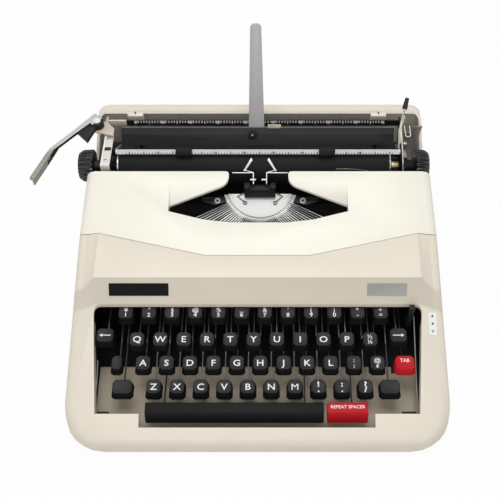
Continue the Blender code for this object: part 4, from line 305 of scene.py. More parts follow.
def scale_paint():
    """Black enamel with the margin scale: short ticks, longer ones and pointers."""
    black = (0.013, 0.013, 0.014)
    short_foot, long_foot, pointer_foot, pointer_top, teeth_top = 106.5, 105.4, 105.8, 109.3, 105.6
    half_length, teeth_height = 115, 2.2
    finish = Finish("margin_scale_enamel", black, 0.45, shine=0.3)
    x, z = finish.axis(0), finish.axis(2)
    short = (((x - SCALE_START) / TENTH).part() < 0.45) * (z > short_foot)
    long = (((x - SCALE_START) / HALF_INCH).part() < 0.09) * (z > long_foot)
    from_pointer = ((((x - SCALE_START - INCH) / INCH + 0.5).part() - 0.5) * INCH).size()
    pointer = (from_pointer < 2.6 - (pointer_top - z) * 0.32) * (z > pointer_foot)
    marks = (short | long | pointer) * (x.size() < half_length)
    columns, lines = (x * (2 * math.pi / TENTH)).wave(), (z * (2 * math.pi / teeth_height)).wave()
    teeth = (columns * lines > 0.25) * (z < teeth_top)
    ground = finish.blend(teeth, black, (0.05, 0.05, 0.05))
    finish.set("Base Color", finish.blend(marks, ground, (0.95, 0.95, 0.92)))
    finish.set("Roughness", 0.42 + 0.1 * finish.noise(3, 3))
    finish.bump(finish.noise(0.4, 2), 0.006, 0.5)
    return finish.material


def bail_scale():
    """Satin steel whose lower half carries the grey ticks of the paper scale."""
    steel = (0.52, 0.52, 0.51)
    short_top, long_top, half_length = 115.1, 115.7, 118
    finish = Finish("bail_scale_steel", steel, 0.42, 0.3)
    x, z = finish.axis(0), finish.axis(2)
    short = (((x - SCALE_START) / TENTH).part() < 0.38) * (z < short_top)
    long = (((x - SCALE_START) / HALF_INCH).part() < 0.1) * (z < long_top)
    marks = (short | long) * (x.size() < half_length)
    finish.set("Base Color", finish.blend(marks, steel, (0.12, 0.12, 0.12)))
    finish.set("Roughness", 0.36 + 0.1 * finish.noise(3, 3))
    finish.bump(finish.noise(0.4, 2), 0.006, 0.5)
    return finish.material


def grooved(name, colour, roughness, count, depth):
    """Glossy plastic with grooves along x, spread around the platen's shaft."""
    finish = Finish(name, colour, roughness, shine=0.9)
    angle = (finish.axis(2) - SHAFT_Z).math("ARCTAN2", finish.axis(1) - SHAFT_Y)
    finish.bump((angle * count).wave(), depth, 0.8)
    clouds = finish.noise(5, 3)
    finish.set("Base Color", finish.blend(clouds, [c * 0.8 for c in colour], [c * 1.2 for c in colour]))
    finish.set("Roughness", roughness - 0.05 + 0.1 * clouds)
    return finish.material


def ribbed_lacquer():
    """The grey lacquer of the paper support, with fine pressed lines along its length."""
    line_pitch = 2.1
    finish = Finish("paper_support_lacquer", (0.41, 0.41, 0.40), 0.42, 0.1)
    lines = (finish.axis(0) * (2 * math.pi / line_pitch)).wave()
    clouds = finish.noise(8, 3)
    finish.set("Base Color", finish.blend(clouds, (0.40, 0.40, 0.39), (0.44, 0.44, 0.43)))
    finish.set("Roughness", 0.38 + 0.1 * clouds)
    finish.bump(lines, 0.05, 0.6)
    return finish.material


SCALE_PAINT = scale_paint()
BAIL_SCALE = bail_scale()
KNOB_BLACK = grooved("black_knob_plastic", (0.011, 0.011, 0.012), 0.2, 22, 1.2)
SUPPORT_GREY = ribbed_lacquer()
print("Finishes with marks ready")

# %% [markdown]
# Operators act on all that is selected. So one helper selects only what is meant, and another opens edit
# mode and picks faces by their middle and normal, or edges by their two ends.

# %% Picking


def select_only(*things):
    """Selects these things alone. The last one becomes the active one."""
    for other in bpy.context.selected_objects:
        other.select_set(False)
    for thing in things:
        thing.select_set(True)
        bpy.context.view_layer.objects.active = thing


def apply_all(thing):
    """Applies every modifier in its order."""
    select_only(thing)
    for modifier in list(thing.modifiers):
        bpy.ops.object.modifier_apply(modifier=modifier.name)


def pick(thing, wanted, kind="FACE"):
    """Edit mode with only the faces (middle, normal) or edges (end, end) that pass, in local millimetres."""
    select_only(thing)
    bpy.ops.object.mode_set(mode="EDIT")
    bpy.ops.mesh.select_mode(type=kind)
    bpy.ops.mesh.select_all(action="DESELECT")
    mesh = bmesh.from_edit_mesh(thing.data)
    if kind == "FACE":
        for face in mesh.faces:
            face.select_set(wanted(face.calc_center_median() / MM, face.normal))
    else:
        for edge in mesh.edges:
            edge.select_set(wanted(edge.verts[0].co / MM, edge.verts[1].co / MM))
    mesh.select_flush_mode()
    bmesh.update_edit_mesh(thing.data)


print("Picking tools ready")

# %% [markdown]
# A real edge always has a small radius that catches the light. Each CAD piece is copied, its loose triangles
# are merged and dissolved into clean faces, and a narrow bevel is applied. The copy then stands for the CAD
# piece and rides on the same body.

# %% Dressing a CAD piece
WIDE_RADIUS = 3.0


def merged_copy(node, name):
    """A copy of a CAD piece with its loose triangles joined into clean faces."""
    copy = frame["nodes"][node].copy()
    copy.data = copy.data.copy()
    copy.name = name
    copy.data.name = name
    copy.parent = None
    bpy.context.scene.collection.objects.link(copy)
    select_only(copy)
    bpy.ops.object.mode_set(mode="EDIT")
    bpy.ops.mesh.select_all(action="SELECT")
    bpy.ops.mesh.remove_doubles(threshold=0.01 * MM)
    bpy.ops.mesh.dissolve_limited(angle_limit=math.radians(0.4))
    bpy.ops.object.mode_set(mode="OBJECT")
    return copy


def soften(thing, width_mm, angle=32, segments=2, smooth=34):
    """Rounds the sharp edges of a piece and smooths its round faces."""
    bevel = thing.modifiers.new("edge_radius", "BEVEL")
    bevel.width = width_mm * MM
    bevel.segments = segments
    bevel.limit_method = "ANGLE"
    bevel.angle_limit = math.radians(angle)
    apply_all(thing)
    select_only(thing)
    bpy.ops.object.shade_smooth_by_angle(angle=math.radians(smooth))


def stand_for(thing, node):
    """Lets a dressed copy take the place of its CAD piece, on the same body."""
    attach(thing, body_of[node])
    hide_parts(node)
    return thing


def paint(thing, material):
    """Gives a piece one finish all over."""
    thing.data.materials.clear()
    thing.data.materials.append(material)


def cut(thing, point, direction):
    """An edge loop where a plane (point in casing millimetres, direction) crosses a piece."""
    select_only(thing)
    bpy.ops.object.mode_set(mode="EDIT")
    bpy.ops.mesh.select_all(action="SELECT")
    bpy.ops.mesh.bisect(plane_co=at(*point), plane_no=direction)
    bpy.ops.object.mode_set(mode="OBJECT")


def dress(node, material, width_mm=0.25, cuts=(), round_first=None, **rounding):
    """The finished copy of a CAD piece. Cuts are planes (point, direction) where a finish changes, and the
    edges whose two ends pass round_first get a wide radius first."""
    copy = merged_copy(node, node + "_finished")
    paint(copy, material)
    if round_first:
        pick(copy, lambda a, b: round_first(a - MIDDLE / MM) and round_first(b - MIDDLE / MM), "EDGE")
        bpy.ops.mesh.bevel(offset=WIDE_RADIUS * MM, segments=4, affect="EDGES", clamp_overlap=True)
        bpy.ops.object.mode_set(mode="OBJECT")
    for point, direction in cuts:
        cut(copy, point, direction)
    soften(copy, width_mm, **rounding)
    return stand_for(copy, node)


def repaint(thing, material, wanted):
    """Gives the faces whose middle passes the test a second finish."""
    thing.data.materials.append(material)
    index = len(thing.data.materials) - 1
    for face in thing.data.polygons:
        middle = (face.center - MIDDLE) / MM
        if wanted(middle, face.normal):
            face.material_index = index


print("Dressing tools ready")

# %% [markdown]
# The cover is ivory and the casing beige, and the tray stands on rubber feet. Some faces carry painted light
# or shade: the steep panel and a band beside it are a darker beige as painted shade, the walls behind the cover
# are a lighter ivory as painted light, and the tray is black inside as painted shade. The rim of the keyboard
# well is rounder than the other edges.

# %% Casing
WELL_FRONT_Y, WELL_FRONT_Z, WELL_RISE = 2.7, 8, 0.47
RIM_ABOVE_FLOOR = 9
FOOT_HEIGHT = 3.4
DARK_LEFT, DARK_FRONT = 112, 66


def well_floor(y):
    """Height of the sloping floor of the keyboard well."""
    return WELL_FRONT_Z + WELL_RISE * (y - WELL_FRONT_Y)


def well_rim(end):
    """The upper side edges of the keyboard well."""
    return 128 < abs(end.x) < 136 and 25 < end.y < 96 and end.z > well_floor(end.y) + RIM_ABOVE_FLOOR


def inner_wall_painted_light(middle, normal):
    """The inner faces behind the cover: the rear wall and the two side walls, which get a lighter ivory as painted
    light.
    """
    rear = middle.y > 285 and normal.y < -0.7
    side = middle.y > 190 and abs(middle.x) > 130 and normal.x * middle.x < -100
    return middle.z > 40 and (rear or side)


def steep_panel(middle, normal):
    """The steep part of the panel above the keyboard."""
    return -0.82 < normal.y < -0.7 and normal.z > 0.5 and 99 < middle.y < 115


def tray_floor_painted_shade(middle, normal):
    """The inner floor of the base tray, which gets black enamel as painted shade."""
    return 4.7 < middle.z < 8 and normal.z > 0.5


cover = dress("top_cover", IVORY, 0.8, angle=35)
shell = dress("body_shell", BEIGE, 0.8, angle=35, round_first=well_rim)
# The flank finish carries a band of painted shade beside the steep panel.
repaint(shell, BEIGE_FLANK_SHADE_BAND, lambda middle, normal: abs(middle.x) > 118 and normal.z > 0.05)
# The walls behind the cover get the lighter ivory instead of beige: painted light.
repaint(shell, IVORY, inner_wall_painted_light)
# The steep panel gets a darker copy of the beige: painted shade.
repaint(shell, BEIGE_PAINTED_SHADE, steep_panel)
tray = dress("base_tray", BEIGE, 0.3)
# Black enamel on the tray floor stands for the shade deep in the well: painted shade.
repaint(tray, PAINT, tray_floor_painted_shade)
repaint(tray, RUBBER, lambda middle, normal: middle.z < FOOT_HEIGHT)
floor_plate = dress("keyboard_floor", TAN, 0.2, [((DARK_LEFT, 0, 0), (1, 0, 0)), ((0, DARK_FRONT, 0), (0, 1, 0))])
repaint(floor_plate, PAINT, lambda middle, normal: middle.x > DARK_LEFT and middle.y > DARK_FRONT)
dress("chassis", PAINT, 0.2)
print("Casing dressed:", len(cover.data.polygons), "faces on the cover")

# %% [markdown]
# Each key is one black cap moulded on a steel lever. The lever's faces lie below or behind the cap, so a
# test on the face's middle finds them and gives them the steel finish. Each row is given by the middle of its
# length, the middle and the top of its caps, and how many caps it has.

# %% Keys
PITCH = 19.05
ROWS = {
    "number": (-3.7, 95.8, 66.5, 12),
    "top": (-3.3, 76.0, 56.5, 11),
    "home": (2.2, 59.0, 47.5, 11),
    "bottom": (1.7, 42.0, 38.5, 10),
}
SIDE_KEY_Y, SIDE_KEY_Z = 79.5, 57
CAP_HEIGHT, CAP_HALF_DEPTH = 7.5, 7
LEVER_HIGHLIGHT_FROM = 85
TOP_KEYS = ["key_" + end for end in ("q", "w", "e", "r", "t", "y", "u", "i", "o", "p", "half")]
HOME_KEYS = ["key_" + end for end in ("a", "s", "d", "f", "g", "h", "j", "k", "l", "colon", "at")]
caps = {}


def row_places(row):
    """Cap centres of one row, left to right."""
    middle, y, _, count = ROWS[row]
    return [(middle + PITCH * (i - (count - 1) / 2), y) for i in range(count)]


def dress_key(node, y, z, cap=BLACK):
    """A key whose cap has its middle at y and its top at z. The upward faces at the rear of its lever get bright
    steel as painted highlight, the rest darker steel.
    """
    rear, bottom = y + CAP_HALF_DEPTH, z - CAP_HEIGHT - 0.05
    key = merged_copy(node, node + "_finished")
    paint(key, cap)
    cut(key, (0, LEVER_HIGHLIGHT_FROM, 0), (0, 1, 0))
    soften(key, 0.55, angle=28, segments=3, smooth=40)
    # The sides and front of a black cap get a darker copy of the black: painted shade.
    if cap == BLACK:
        repaint(key, BLACK_SIDE_PAINTED_SHADE, lambda middle, normal: normal.z < 0.5)
    repaint(key, LEVER_STEEL, lambda middle, normal: middle.y > rear or middle.z < bottom)
    # Upward faces of the lever behind the cut get bright steel: painted highlight.
    repaint(key, STEEL, lambda middle, normal: middle.y > max(rear, LEVER_HIGHLIGHT_FROM) and normal.z > 0.3)
    caps[node] = stand_for(key, node)


for row, nodes in (("top", TOP_KEYS), ("home", HOME_KEYS), ("number", ["number_row_keys"]),
                   ("bottom", ["bottom_row_keys", "shift_key_left", "shift_key_right"]), ("home", ["shift_lock"])):
    for node in nodes:
        dress_key(node, *ROWS[row][1:3])
dress_key("tab_key", *ROWS["home"][1:3], RED)
dress_key("backspace_key", SIDE_KEY_Y, SIDE_KEY_Z)
dress_key("margin_release_key", SIDE_KEY_Y, SIDE_KEY_Z)
for node, cap in (("space_bar", BLACK_BAR), ("repeat_spacer", RED)):
    caps[node] = dress(node, cap, 0.7, segments=3)
    repaint(caps[node], DARK_STEEL, lambda middle, normal: middle.y > 31)
dress("ribbon_selector", BLACK, 0.5)
print("Keys dressed:", len(caps))

# %% [markdown]
# The carriage and the type basket mix bright steel, black enamel and rubber. One list gives each piece its
# finish and the radius of its edges in millimetres.

# %% Carriage and type basket
worked = {}
for node, material, width in (
    ("platen", RUBBER, 0.3),
    ("platen_knob_left", KNOB_BLACK, 0.5),
    ("platen_knob_right", KNOB_BLACK, 0.5),
    ("line_space_ratchet", STEEL, 0.15),
    ("feed_roller", RUBBER, 0.2),
    ("paper_table", PAINT, 0.35),
    ("paper_support_arm", SUPPORT_GREY, 0.2),
    ("paper_bail", STEEL, 0.15),
    ("bail_roller_left", RUBBER, 0.3),
    ("bail_roller_right", RUBBER, 0.3),
    ("paper_release_lever", CREAM, 0.1),
    ("carriage_release_lever", GREY_BROWN, 0.2),
    ("margin_stop_left", CREAM, 0.6),
    ("margin_stop_right", CREAM, 0.6),
    ("carriage_rail", STEEL, 0.2),
    ("mainspring_drum", STEEL, 0.2),
    ("ribbon_spool_left", PAINT, 0.2),
    ("ribbon_spool_right", PAINT, 0.2),
    ("type_guide", PAINT, 0.2),
    ("type_segment", WHITE_STEEL, 0.1),
):
    worked[node] = dress(node, material, width)
print("Working pieces dressed:", len(worked))

# %% [markdown]
# Some pieces have more than one finish. The arm of the return lever is silver from its hub outwards, so an
# edge is cut across the hub. On the carriage frame the left end plate is white, and the front of the margin
# rack carries the scale. The tops of the type bars around the white segment get a lighter steel as painted
# highlight.

# %% Second finishes of the carriage and the basket
HUB_X, HUB_Y = -145.6, 268.6
INWARDS = (0.717, -0.697)
RACK_LEFT = -122
TABLE_BACK_Z, TABLE_EDGE_Z, GUIDE_TOP_Z = 111.4, 116.6, 98.7
SEGMENT_X, SEGMENT_Y, SEGMENT_TILT = 1.2, 211.4, 25
BARS_FROM = 30.2


def arm_top(middle, normal):
    """The upper faces of the return lever's arm, outside the cut across its hub."""
    inside = INWARDS[0] * (middle.x - HUB_X) + INWARDS[1] * (middle.y - HUB_Y)
    return normal.z > 0.3 and middle.z > 118.8 and (middle.x < -165 or inside < 0.1)


def rack_front(middle, normal):
    """The front of the margin rack, which carries the scale."""
    return 280 < middle.y < 281.3 and middle.z > 102 and normal.y < -0.5 and -121 < middle.x < 128


def from_segment(middle):
    """Distance from the middle of the segment's chord, along its tilted plane."""
    return math.hypot(middle.x - SEGMENT_X, (middle.y - SEGMENT_Y) / math.cos(math.radians(SEGMENT_TILT)))


def segment_dark(middle, normal):
    """What lies outside the segment's white disc or below it."""
    return from_segment(middle) > BARS_FROM or middle.z < 60


def bar_tops(middle, normal):
    """The upper faces of the type bars, which get a lighter steel as painted highlight."""
    return from_segment(middle) > BARS_FROM + 0.3 and normal.z > 0.92


lever = dress("return_lever", PAINT, 0.3, [((HUB_X, HUB_Y, 0), (*INWARDS, 0))])
repaint(lever, SILVER, arm_top)
repaint(lever, GREY_GREEN, lambda middle, normal: middle.x < -183)
carriage = dress("carriage_frame", PAINT, 0.2, [((RACK_LEFT, 0, 0), (1, 0, 0))])
repaint(carriage, WHITE_PAINT, lambda middle, normal: middle.z > 84 and middle.x < -130.5)
repaint(carriage, BEIGE, lambda middle, normal: 280 < middle.y < 287 and middle.z > 102 and middle.x < RACK_LEFT)
repaint(carriage, SCALE_PAINT, rack_front)
repaint(carriage, PINK_BEIGE, lambda middle, normal: middle.x < -120 and middle.z > 111.5 and middle.y > 250)
repaint(worked["paper_bail"], BAIL_SCALE, lambda middle, normal: abs(middle.x) < 120 and normal.y < -0.2)
repaint(worked["paper_release_lever"], BLACK, lambda middle, normal: middle.z > 122.5 and middle.y > 270)
# The upper slope of the paper table gets a lighter black as painted light, and its top edge a grey painted
# highlight.
repaint(worked["paper_table"], TABLE_PAINTED_LIGHT, lambda middle, normal: middle.z > TABLE_BACK_Z)
repaint(worked["paper_table"], TABLE_EDGE_HIGHLIGHT, lambda middle, normal: middle.z > TABLE_EDGE_Z)
repaint(worked["type_guide"], STEEL, lambda middle, normal: middle.z > GUIDE_TOP_Z)
repaint(worked["type_segment"], DARK_STEEL, segment_dark)
# The tops of the dark type bars get a lighter steel: painted highlight.
repaint(worked["type_segment"], TYPE_BAR_HIGHLIGHT, bar_tops)
print("Pieces standing for CAD nodes:", len(frame["nodes"]))

# %% [markdown]
# The small parts below are modelled around the origin. A finished part is laid in its place and its transform
# applied, and a ray from above finds the surface that it sits on.

# %% Placing small parts
RAY_START_Z = 400


def done(thing):
    """Leaves edit mode and smooths the round faces."""
    bpy.ops.object.mode_set(mode="OBJECT")
    select_only(thing)
    bpy.ops.object.shade_smooth_by_angle(angle=math.radians(30))
    return thing


def lay(thing, node, material, place, turn=(0, 0, 0), facing=None):
    """Puts a part modelled around the origin in its place on the body of a node. It is turned about z first,
    then tipped about x, and its top faces the given direction with its far side to the back."""
    rotation = Euler([math.radians(a) for a in turn], "ZYX").to_quaternion()
    if facing:
        along = facing.cross(Vector((1, 0, 0))).normalized()
        rotation = Matrix((along.cross(facing), along, facing)).transposed().to_quaternion() @ rotation
    thing.rotation_mode = "QUATERNION"
    thing.rotation_quaternion = rotation
    thing.location = at(*place)
    select_only(thing)
    bpy.ops.object.transform_apply(location=True, rotation=True, scale=True)
    thing.rotation_mode = "XYZ"
    paint(thing, material)
    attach(thing, body_of[node])
    return thing


def twin(thing, name):
    """A copy with its own mesh."""
    copy = thing.copy()
    copy.data = thing.data.copy()
    copy.name = name
    bpy.context.scene.collection.objects.link(copy)
    return copy


def drop(thing, x, y, lift=0.0, reach=0.0):
    """The first surface of a piece met from above, as keyword arguments for lay. With a reach the tilt
    comes from four points around the place, so that a flat part lies well on a rounded surface."""
    def met(across, along):
        return thing.ray_cast(at(x + across, y + along, RAY_START_Z), Vector((0, 0, -1)))[1:3]

    place, normal = met(0, 0)
    if reach:
        left, right = met(-reach, 0)[0], met(reach, 0)[0]
        front, rear = met(0, -reach)[0], met(0, reach)[0]
        place, normal = (left + right) / 2, (right - left).cross(rear - front).normalized()
    return {"place": (place + normal * lift * MM - MIDDLE) / MM, "facing": normal}


print("Placing tools ready")

# %% [markdown]
# Most small parts are stamped or turned. A stamped or moulded one starts as a cube, whose upright edges are
# rounded and whose top is inset, and a turned one starts as a cylinder with a broken edge.

# %% Blocks and discs


def block(name, width, depth, height, corner, rim=0.0, sink=0.0, top=1.0):
    """A small block: a cube with rounded upright edges and a drafted top, whose field inside a rim is sunk,
    or raised a little when no sink is given."""
    select_only()
    bpy.ops.mesh.primitive_cube_add(size=1, scale=(width * MM, depth * MM, height * MM))
    thing = bpy.context.active_object
    thing.name = name
    bpy.ops.object.transform_apply(scale=True)
    if top != 1:
        pick(thing, lambda middle, normal: normal.z > 0.9)
        bpy.ops.transform.resize(value=(top, top, 1))
        bpy.ops.object.mode_set(mode="OBJECT")
    pick(thing, lambda a, b: (a.z > 0) != (b.z > 0), "EDGE")
    bpy.ops.mesh.bevel(offset=corner * MM, segments=3, affect="EDGES")
    bpy.ops.object.mode_set(mode="OBJECT")
    pick(thing, lambda middle, normal: normal.z > 0.9)
    rise = -sink if sink else min(height, 0.4) * 0.2
    bpy.ops.mesh.inset(thickness=(rim or min(width, depth) * 0.08) * MM)
    bpy.ops.transform.translate(value=(0, 0, rise * MM))
    return done(thing)


def disc(name, radius, height, slot=0.0, hole=0.0, sides=24):
    """A turned part along z: a cylinder with a broken edge, a slot cut across its head or a hole."""
    select_only()
    bpy.ops.mesh.primitive_cylinder_add(vertices=sides, radius=radius * MM, depth=height * MM)
    thing = bpy.context.active_object
    thing.name = name
    if hole:
        pick(thing, lambda middle, normal: abs(normal.z) > 0.9)
        bpy.ops.mesh.inset(thickness=(radius - hole) * MM)
        bpy.ops.mesh.bridge_edge_loops()
        bpy.ops.object.mode_set(mode="OBJECT")
    pick(thing, lambda a, b: a.z > 0 and b.z > 0 and a.xy.length > radius * 0.9, "EDGE")
    bpy.ops.mesh.bevel(offset=min(height, radius) * 0.22 * MM, segments=2, affect="EDGES")
    bpy.ops.object.mode_set(mode="OBJECT")
    if slot:
        select_only()
        bpy.ops.mesh.primitive_cube_add(size=1, location=(0, 0, height * 0.5 * MM),
                                        scale=(radius * 3 * MM, slot * MM, height * 0.6 * MM))
        cutter = bpy.context.active_object
        groove = thing.modifiers.new("screw_slot", "BOOLEAN")
        groove.object = cutter
        groove.solver = "EXACT"
        apply_all(thing)
        bpy.data.objects.remove(cutter)
    return done(thing)


print("Blocks and discs can be made")

# %% [markdown]
# Thin links and wires are bent from round stock, so a path through a few points is given a round section and
# made a mesh.

# %% Wires


def wire(name, node, material, points, radius):
    """A bent wire through points in casing millimetres: a path given a round section and made a mesh."""
    select_only()
    bpy.ops.curve.primitive_nurbs_path_add()
    thing = bpy.context.active_object
    thing.name = name
    thing.data.splines.clear()
    path = thing.data.splines.new("POLY")
    path.points.add(len(points) - 1)
    for point, place in zip(path.points, points):
        point.co = (*at(*place), 1)
    thing.data.bevel_depth = radius * MM
    thing.data.bevel_resolution = 2
    thing.data.use_fill_caps = True
    select_only(thing)
    bpy.ops.object.convert(target="MESH")
    thing = bpy.context.active_object
    bpy.ops.object.shade_smooth_by_angle(angle=math.radians(40))
    paint(thing, material)
    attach(thing, body_of[node])
    return thing


print("Wires can be made")

# %% [markdown]
# Every key carries a white legend in plain bold letters. The letters are typed as text, made a mesh, and laid
# on the dished top of the cap, tilted like it.

# %% Letters
TILT = 8
LETTER_SIZE, LETTER_BOLD = 7.7, 0.012


def letters(words, size, bold=LETTER_BOLD, wide=1.12):
    """Letters around the origin, as a thin closed mesh."""
    select_only()
    bpy.ops.object.text_add()
    thing = bpy.context.active_object
    thing.data.body = words
    thing.data.size = size * MM
    thing.data.align_x = "CENTER"
    thing.data.resolution_u = 3
    thing.data.offset = bold * size * MM
    thing.data.extrude = 0.03 * MM
    thing.location = (0, -0.36 * size * MM, 0)
    thing.scale = (wide, 1, 1)
    bpy.ops.object.convert(target="MESH")
    thing = bpy.context.active_object
    bpy.ops.object.transform_apply(location=True, rotation=True, scale=True)
    bpy.ops.object.mode_set(mode="EDIT")
    bpy.ops.mesh.select_all(action="SELECT")
    bpy.ops.mesh.remove_doubles(threshold=0.001 * MM)
    bpy.ops.object.mode_set(mode="OBJECT")
    return thing


def legend(words, node, x, y, size=LETTER_SIZE, up=0.0, **style):
    """A legend on a cap, a little above the middle of its top when up is given."""
    thing = letters(words, size, **style)
    thing.name = "legend_" + node
    return lay(thing, node, INK, **drop(caps[node], x, y + up * math.cos(math.radians(TILT)), 0.04))


def as_one(name, node, things):
    """Joins parts of one finish that ride on the same body."""
    select_only(*things)
    bpy.ops.object.join()
    joined = bpy.context.active_object
    joined.name = name
    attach(joined, body_of[node])
    return joined


print("Letters can be made")

# %% [markdown]
# The two middle rows have one letter on each key, and the number row has two signs. A row that is one piece
# gets its legends joined to one piece too, because they move together.

# %% Key legends
TWO_SIZE, TWO_HEIGHTS = 5.0, (2.3, -2.3)
NUMBER_SIGNS = ["¥1", '"2', "§3", "@4", "%5", "_6", "&7", "'8", "(9", ")0", "*-", "+="]
BOTTOM_SIGNS = ["Z", "X", "C", "V", "B", "N", "M", "!,", ":.", "?/"]
for (x, y), node, words in zip(row_places("top"), TOP_KEYS, "QWERTYUIOP"):
    legend(words, node, x, y)
for (x, y), node, words in zip(row_places("home"), HOME_KEYS, "ASDFGHJKL"):
    legend(words, node, x, y)
signs = []
for (x, y), words in zip(row_places("number"), NUMBER_SIGNS):
    for sign, up in zip(words, TWO_HEIGHTS):
        signs.append(legend(sign, "number_row_keys", x, y, TWO_SIZE, up))
as_one("legend_number_row", "number_row_keys", signs)
signs = []
for (x, y), words in zip(row_places("bottom"), BOTTOM_SIGNS):
    for sign, up in zip(words, (0,) if len(words) == 1 else TWO_HEIGHTS):
        size, bold = (6.0, 0.04) if len(words) == 2 else (LETTER_SIZE, 0.0 if words == "M" else LETTER_BOLD)
        signs.append(legend(sign, "bottom_row_keys", x, y, size, up, bold=bold))
as_one("legend_bottom_row", "bottom_row_keys", signs)
for node, words, (x, y) in (("key_half", "½¼", row_places("top")[10]), ("key_colon", ":;", row_places("home")[9]),
                            ("key_at", "@¢", row_places("home")[10])):
    pair = [legend(sign, node, x, y, TWO_SIZE, up) for sign, up in zip(words, TWO_HEIGHTS)]
    as_one("legend_" + node, node, pair)
legend("TAB", "tab_key", 119.8, ROWS["home"][1], 4.4, 2.2, wide=0.95)
legend("REPEAT SPACER", "repeat_spacer", 72.6, 26.6, 3.9, wide=1.0)

# %% [markdown]
# The backspace and margin release keys carry a plain arrow: a triangle extruded from a three-sided circle and
# a thin bar.

# %% Arrows
PRINT_THICKNESS = 0.06


def flat_shape(name, sides, radius):
    """A thin flat shape: a filled circle of few sides, extruded and drawn in a little."""
    select_only()
    bpy.ops.mesh.primitive_circle_add(vertices=sides, radius=radius * MM, fill_type="NGON")
    thing = bpy.context.active_object
    thing.name = name
    bpy.ops.object.mode_set(mode="EDIT")
    bpy.ops.mesh.select_all(action="SELECT")
    bpy.ops.mesh.extrude_region_move(TRANSFORM_OT_translate={"value": (0, 0, PRINT_THICKNESS * MM)})
    bpy.ops.transform.resize(value=(0.94, 0.94, 1))
    bpy.ops.mesh.select_all(action="SELECT")
    bpy.ops.mesh.normals_make_consistent(inside=False)
    bpy.ops.object.mode_set(mode="OBJECT")
    return thing


for node, x, turn in (("backspace_key", -125, 90), ("margin_release_key", 115.3, -90)):
    side = -1 if turn == 90 else 1
    head_place = drop(caps[node], x + side * 3.2, SIDE_KEY_Y, 0.03)
    bar_place = drop(caps[node], x - side * 0.8, SIDE_KEY_Y, 0.05)
    head = lay(flat_shape("arrow_head", 3, 1.7), node, INK, turn=(0, 0, turn), **head_place)
    bar = lay(block("arrow_bar", 7.4, 0.75, PRINT_THICKNESS, 0.1), node, INK, **bar_place)
    as_one("legend_" + node, node, [head, bar])
print("Arrows placed")

# %% [markdown]
# Two bare plates sit on the steep panel, and a film label with three marks sits on the rounded side, where its
# tilt comes from the surface around it. Its marks are dropped on the label itself.

# %% Plates and labels
PLATE_Y = 107.5
LABEL_X, LABEL_Y, MARK_STEP = 143.6, 87.5, 5.5
for name, width, x, material in (("blank_plate_black", 48.9, -97.35, BLACK_LABEL),
                                 ("blank_plate_grey", 32.6, 105.9, PLATE_GREY)):
    plate = block(name, width, 10.5, 0.5, 0.5, rim=0.5, sink=0.1)
    lay(plate, "body_shell", material, **drop(shell, x, PLATE_Y))
label_place = drop(shell, LABEL_X, LABEL_Y, 0.25, reach=3)
label = lay(block("touch_label", 7.0, 19, 0.2, 0.8, rim=0.3, sink=0.02), "body_shell", LABEL, **label_place)
for name, sides, radius, step, turn, material in (("label_up", 3, 1.5, MARK_STEP, 0, DARK_INK),
                                                  ("label_bar", 4, 1.2, 0, 45, DARK_INK),
                                                  ("label_down", 3, 1.5, -MARK_STEP, 180, RED_INK)):
    mark_place = drop(label, LABEL_X, LABEL_Y + step, 0.06)
    lay(flat_shape(name, sides, radius), "body_shell", material, turn=(0, 0, turn), **mark_place)
# Each clip slot is a dark sheet that stands for the shadow in the slot: painted shadow.
for x, width in ((-127.3, 10), (124.4, 12)):
    clip = block("clip_slot", width, 1.6, 0.3, 0.3, rim=0.3, sink=0.1)
    lay(clip, "keyboard_floor", NOTCH, **drop(floor_plate, x, 32.4))
print("Labels placed")

# %% [markdown]
# Inside the keyboard well two thin rails run beside the keys, along its sloping floor. Four ribs stiffen the
# rear wall, and a ray to the rear finds it.

# %% Well rails and rear ribs
WELL_TILT, ALONG_SLOPE = 25.2, 1.1
for x, front, rear in ((-132.0, 44, 67), (130.2, 36, 100)):
    middle = (front + rear) / 2
    rail = block("well_rail", 0.7, (rear - front) * ALONG_SLOPE, 1.2, 0.12)
    lay(rail, "keyboard_floor", GREY, (x, middle, well_floor(middle)), (WELL_TILT, 0, 0))
# The ribs get the white label film, lighter than the ivory wall, as painted light.
rib = block("rear_rib", 1.2, 20, 3.0, 0.25, top=0.9)
for i, x in enumerate((-79.8, -72.3, 71.2, 78.7)):
    wall = (shell.ray_cast(at(x, 292, 96), Vector((0, 1, 0)))[1] - MIDDLE) / MM
    lay(twin(rib, f"rear_rib_{i + 1}"), "body_shell", LABEL, wall, (90, 0, 0))
bpy.data.objects.remove(rib)
print("Rails and ribs placed")

# %% [markdown]
# The carriage ends are crowded with small steel parts: a slotted pivot screw on the return lever, screws on
# the cover of the line-space pawl, and discs, collars and a brass sleeve on the platen shaft.

# %% Carriage ends
lay(disc("lever_screw", 3.3, 1.4, slot=0.8), "return_lever", WHITE_STEEL, (-146, 269, 120.1), (0, 0, 55))
screw = disc("small_screw", 1.7, 0.8, slot=0.45, sides=16)
for i, (x, y, z) in enumerate(((-135, 229, 109.8), (-135, 256, 109.8), (130.4, 247.6, 112.6))):
    lay(twin(screw, f"small_screw_{i + 1}"), "carriage_frame", STEEL, (x, y, z), (0, 0, 25 + 40 * i))
bpy.data.objects.remove(screw)
lay(block("pawl_band", 6.0, 4.0, 0.3, 0.3), "carriage_frame", NOTCH, (-134.6, 243.5, 109.6))
lay(block("plate_edge", 1.5, 40, 0.9, 0.2), "carriage_frame", LABEL, (-138.1, 241.5, 109.9))
BORE, SLEEVE_BORE = 3.1, 3.05
for x, length in ((-143.5, 7), (134.8, 9)):
    lay(disc("knob_collar", 5.2, length, hole=BORE), "platen", BLACK, (x, SHAFT_Y, SHAFT_Z), (0, 90, 0))
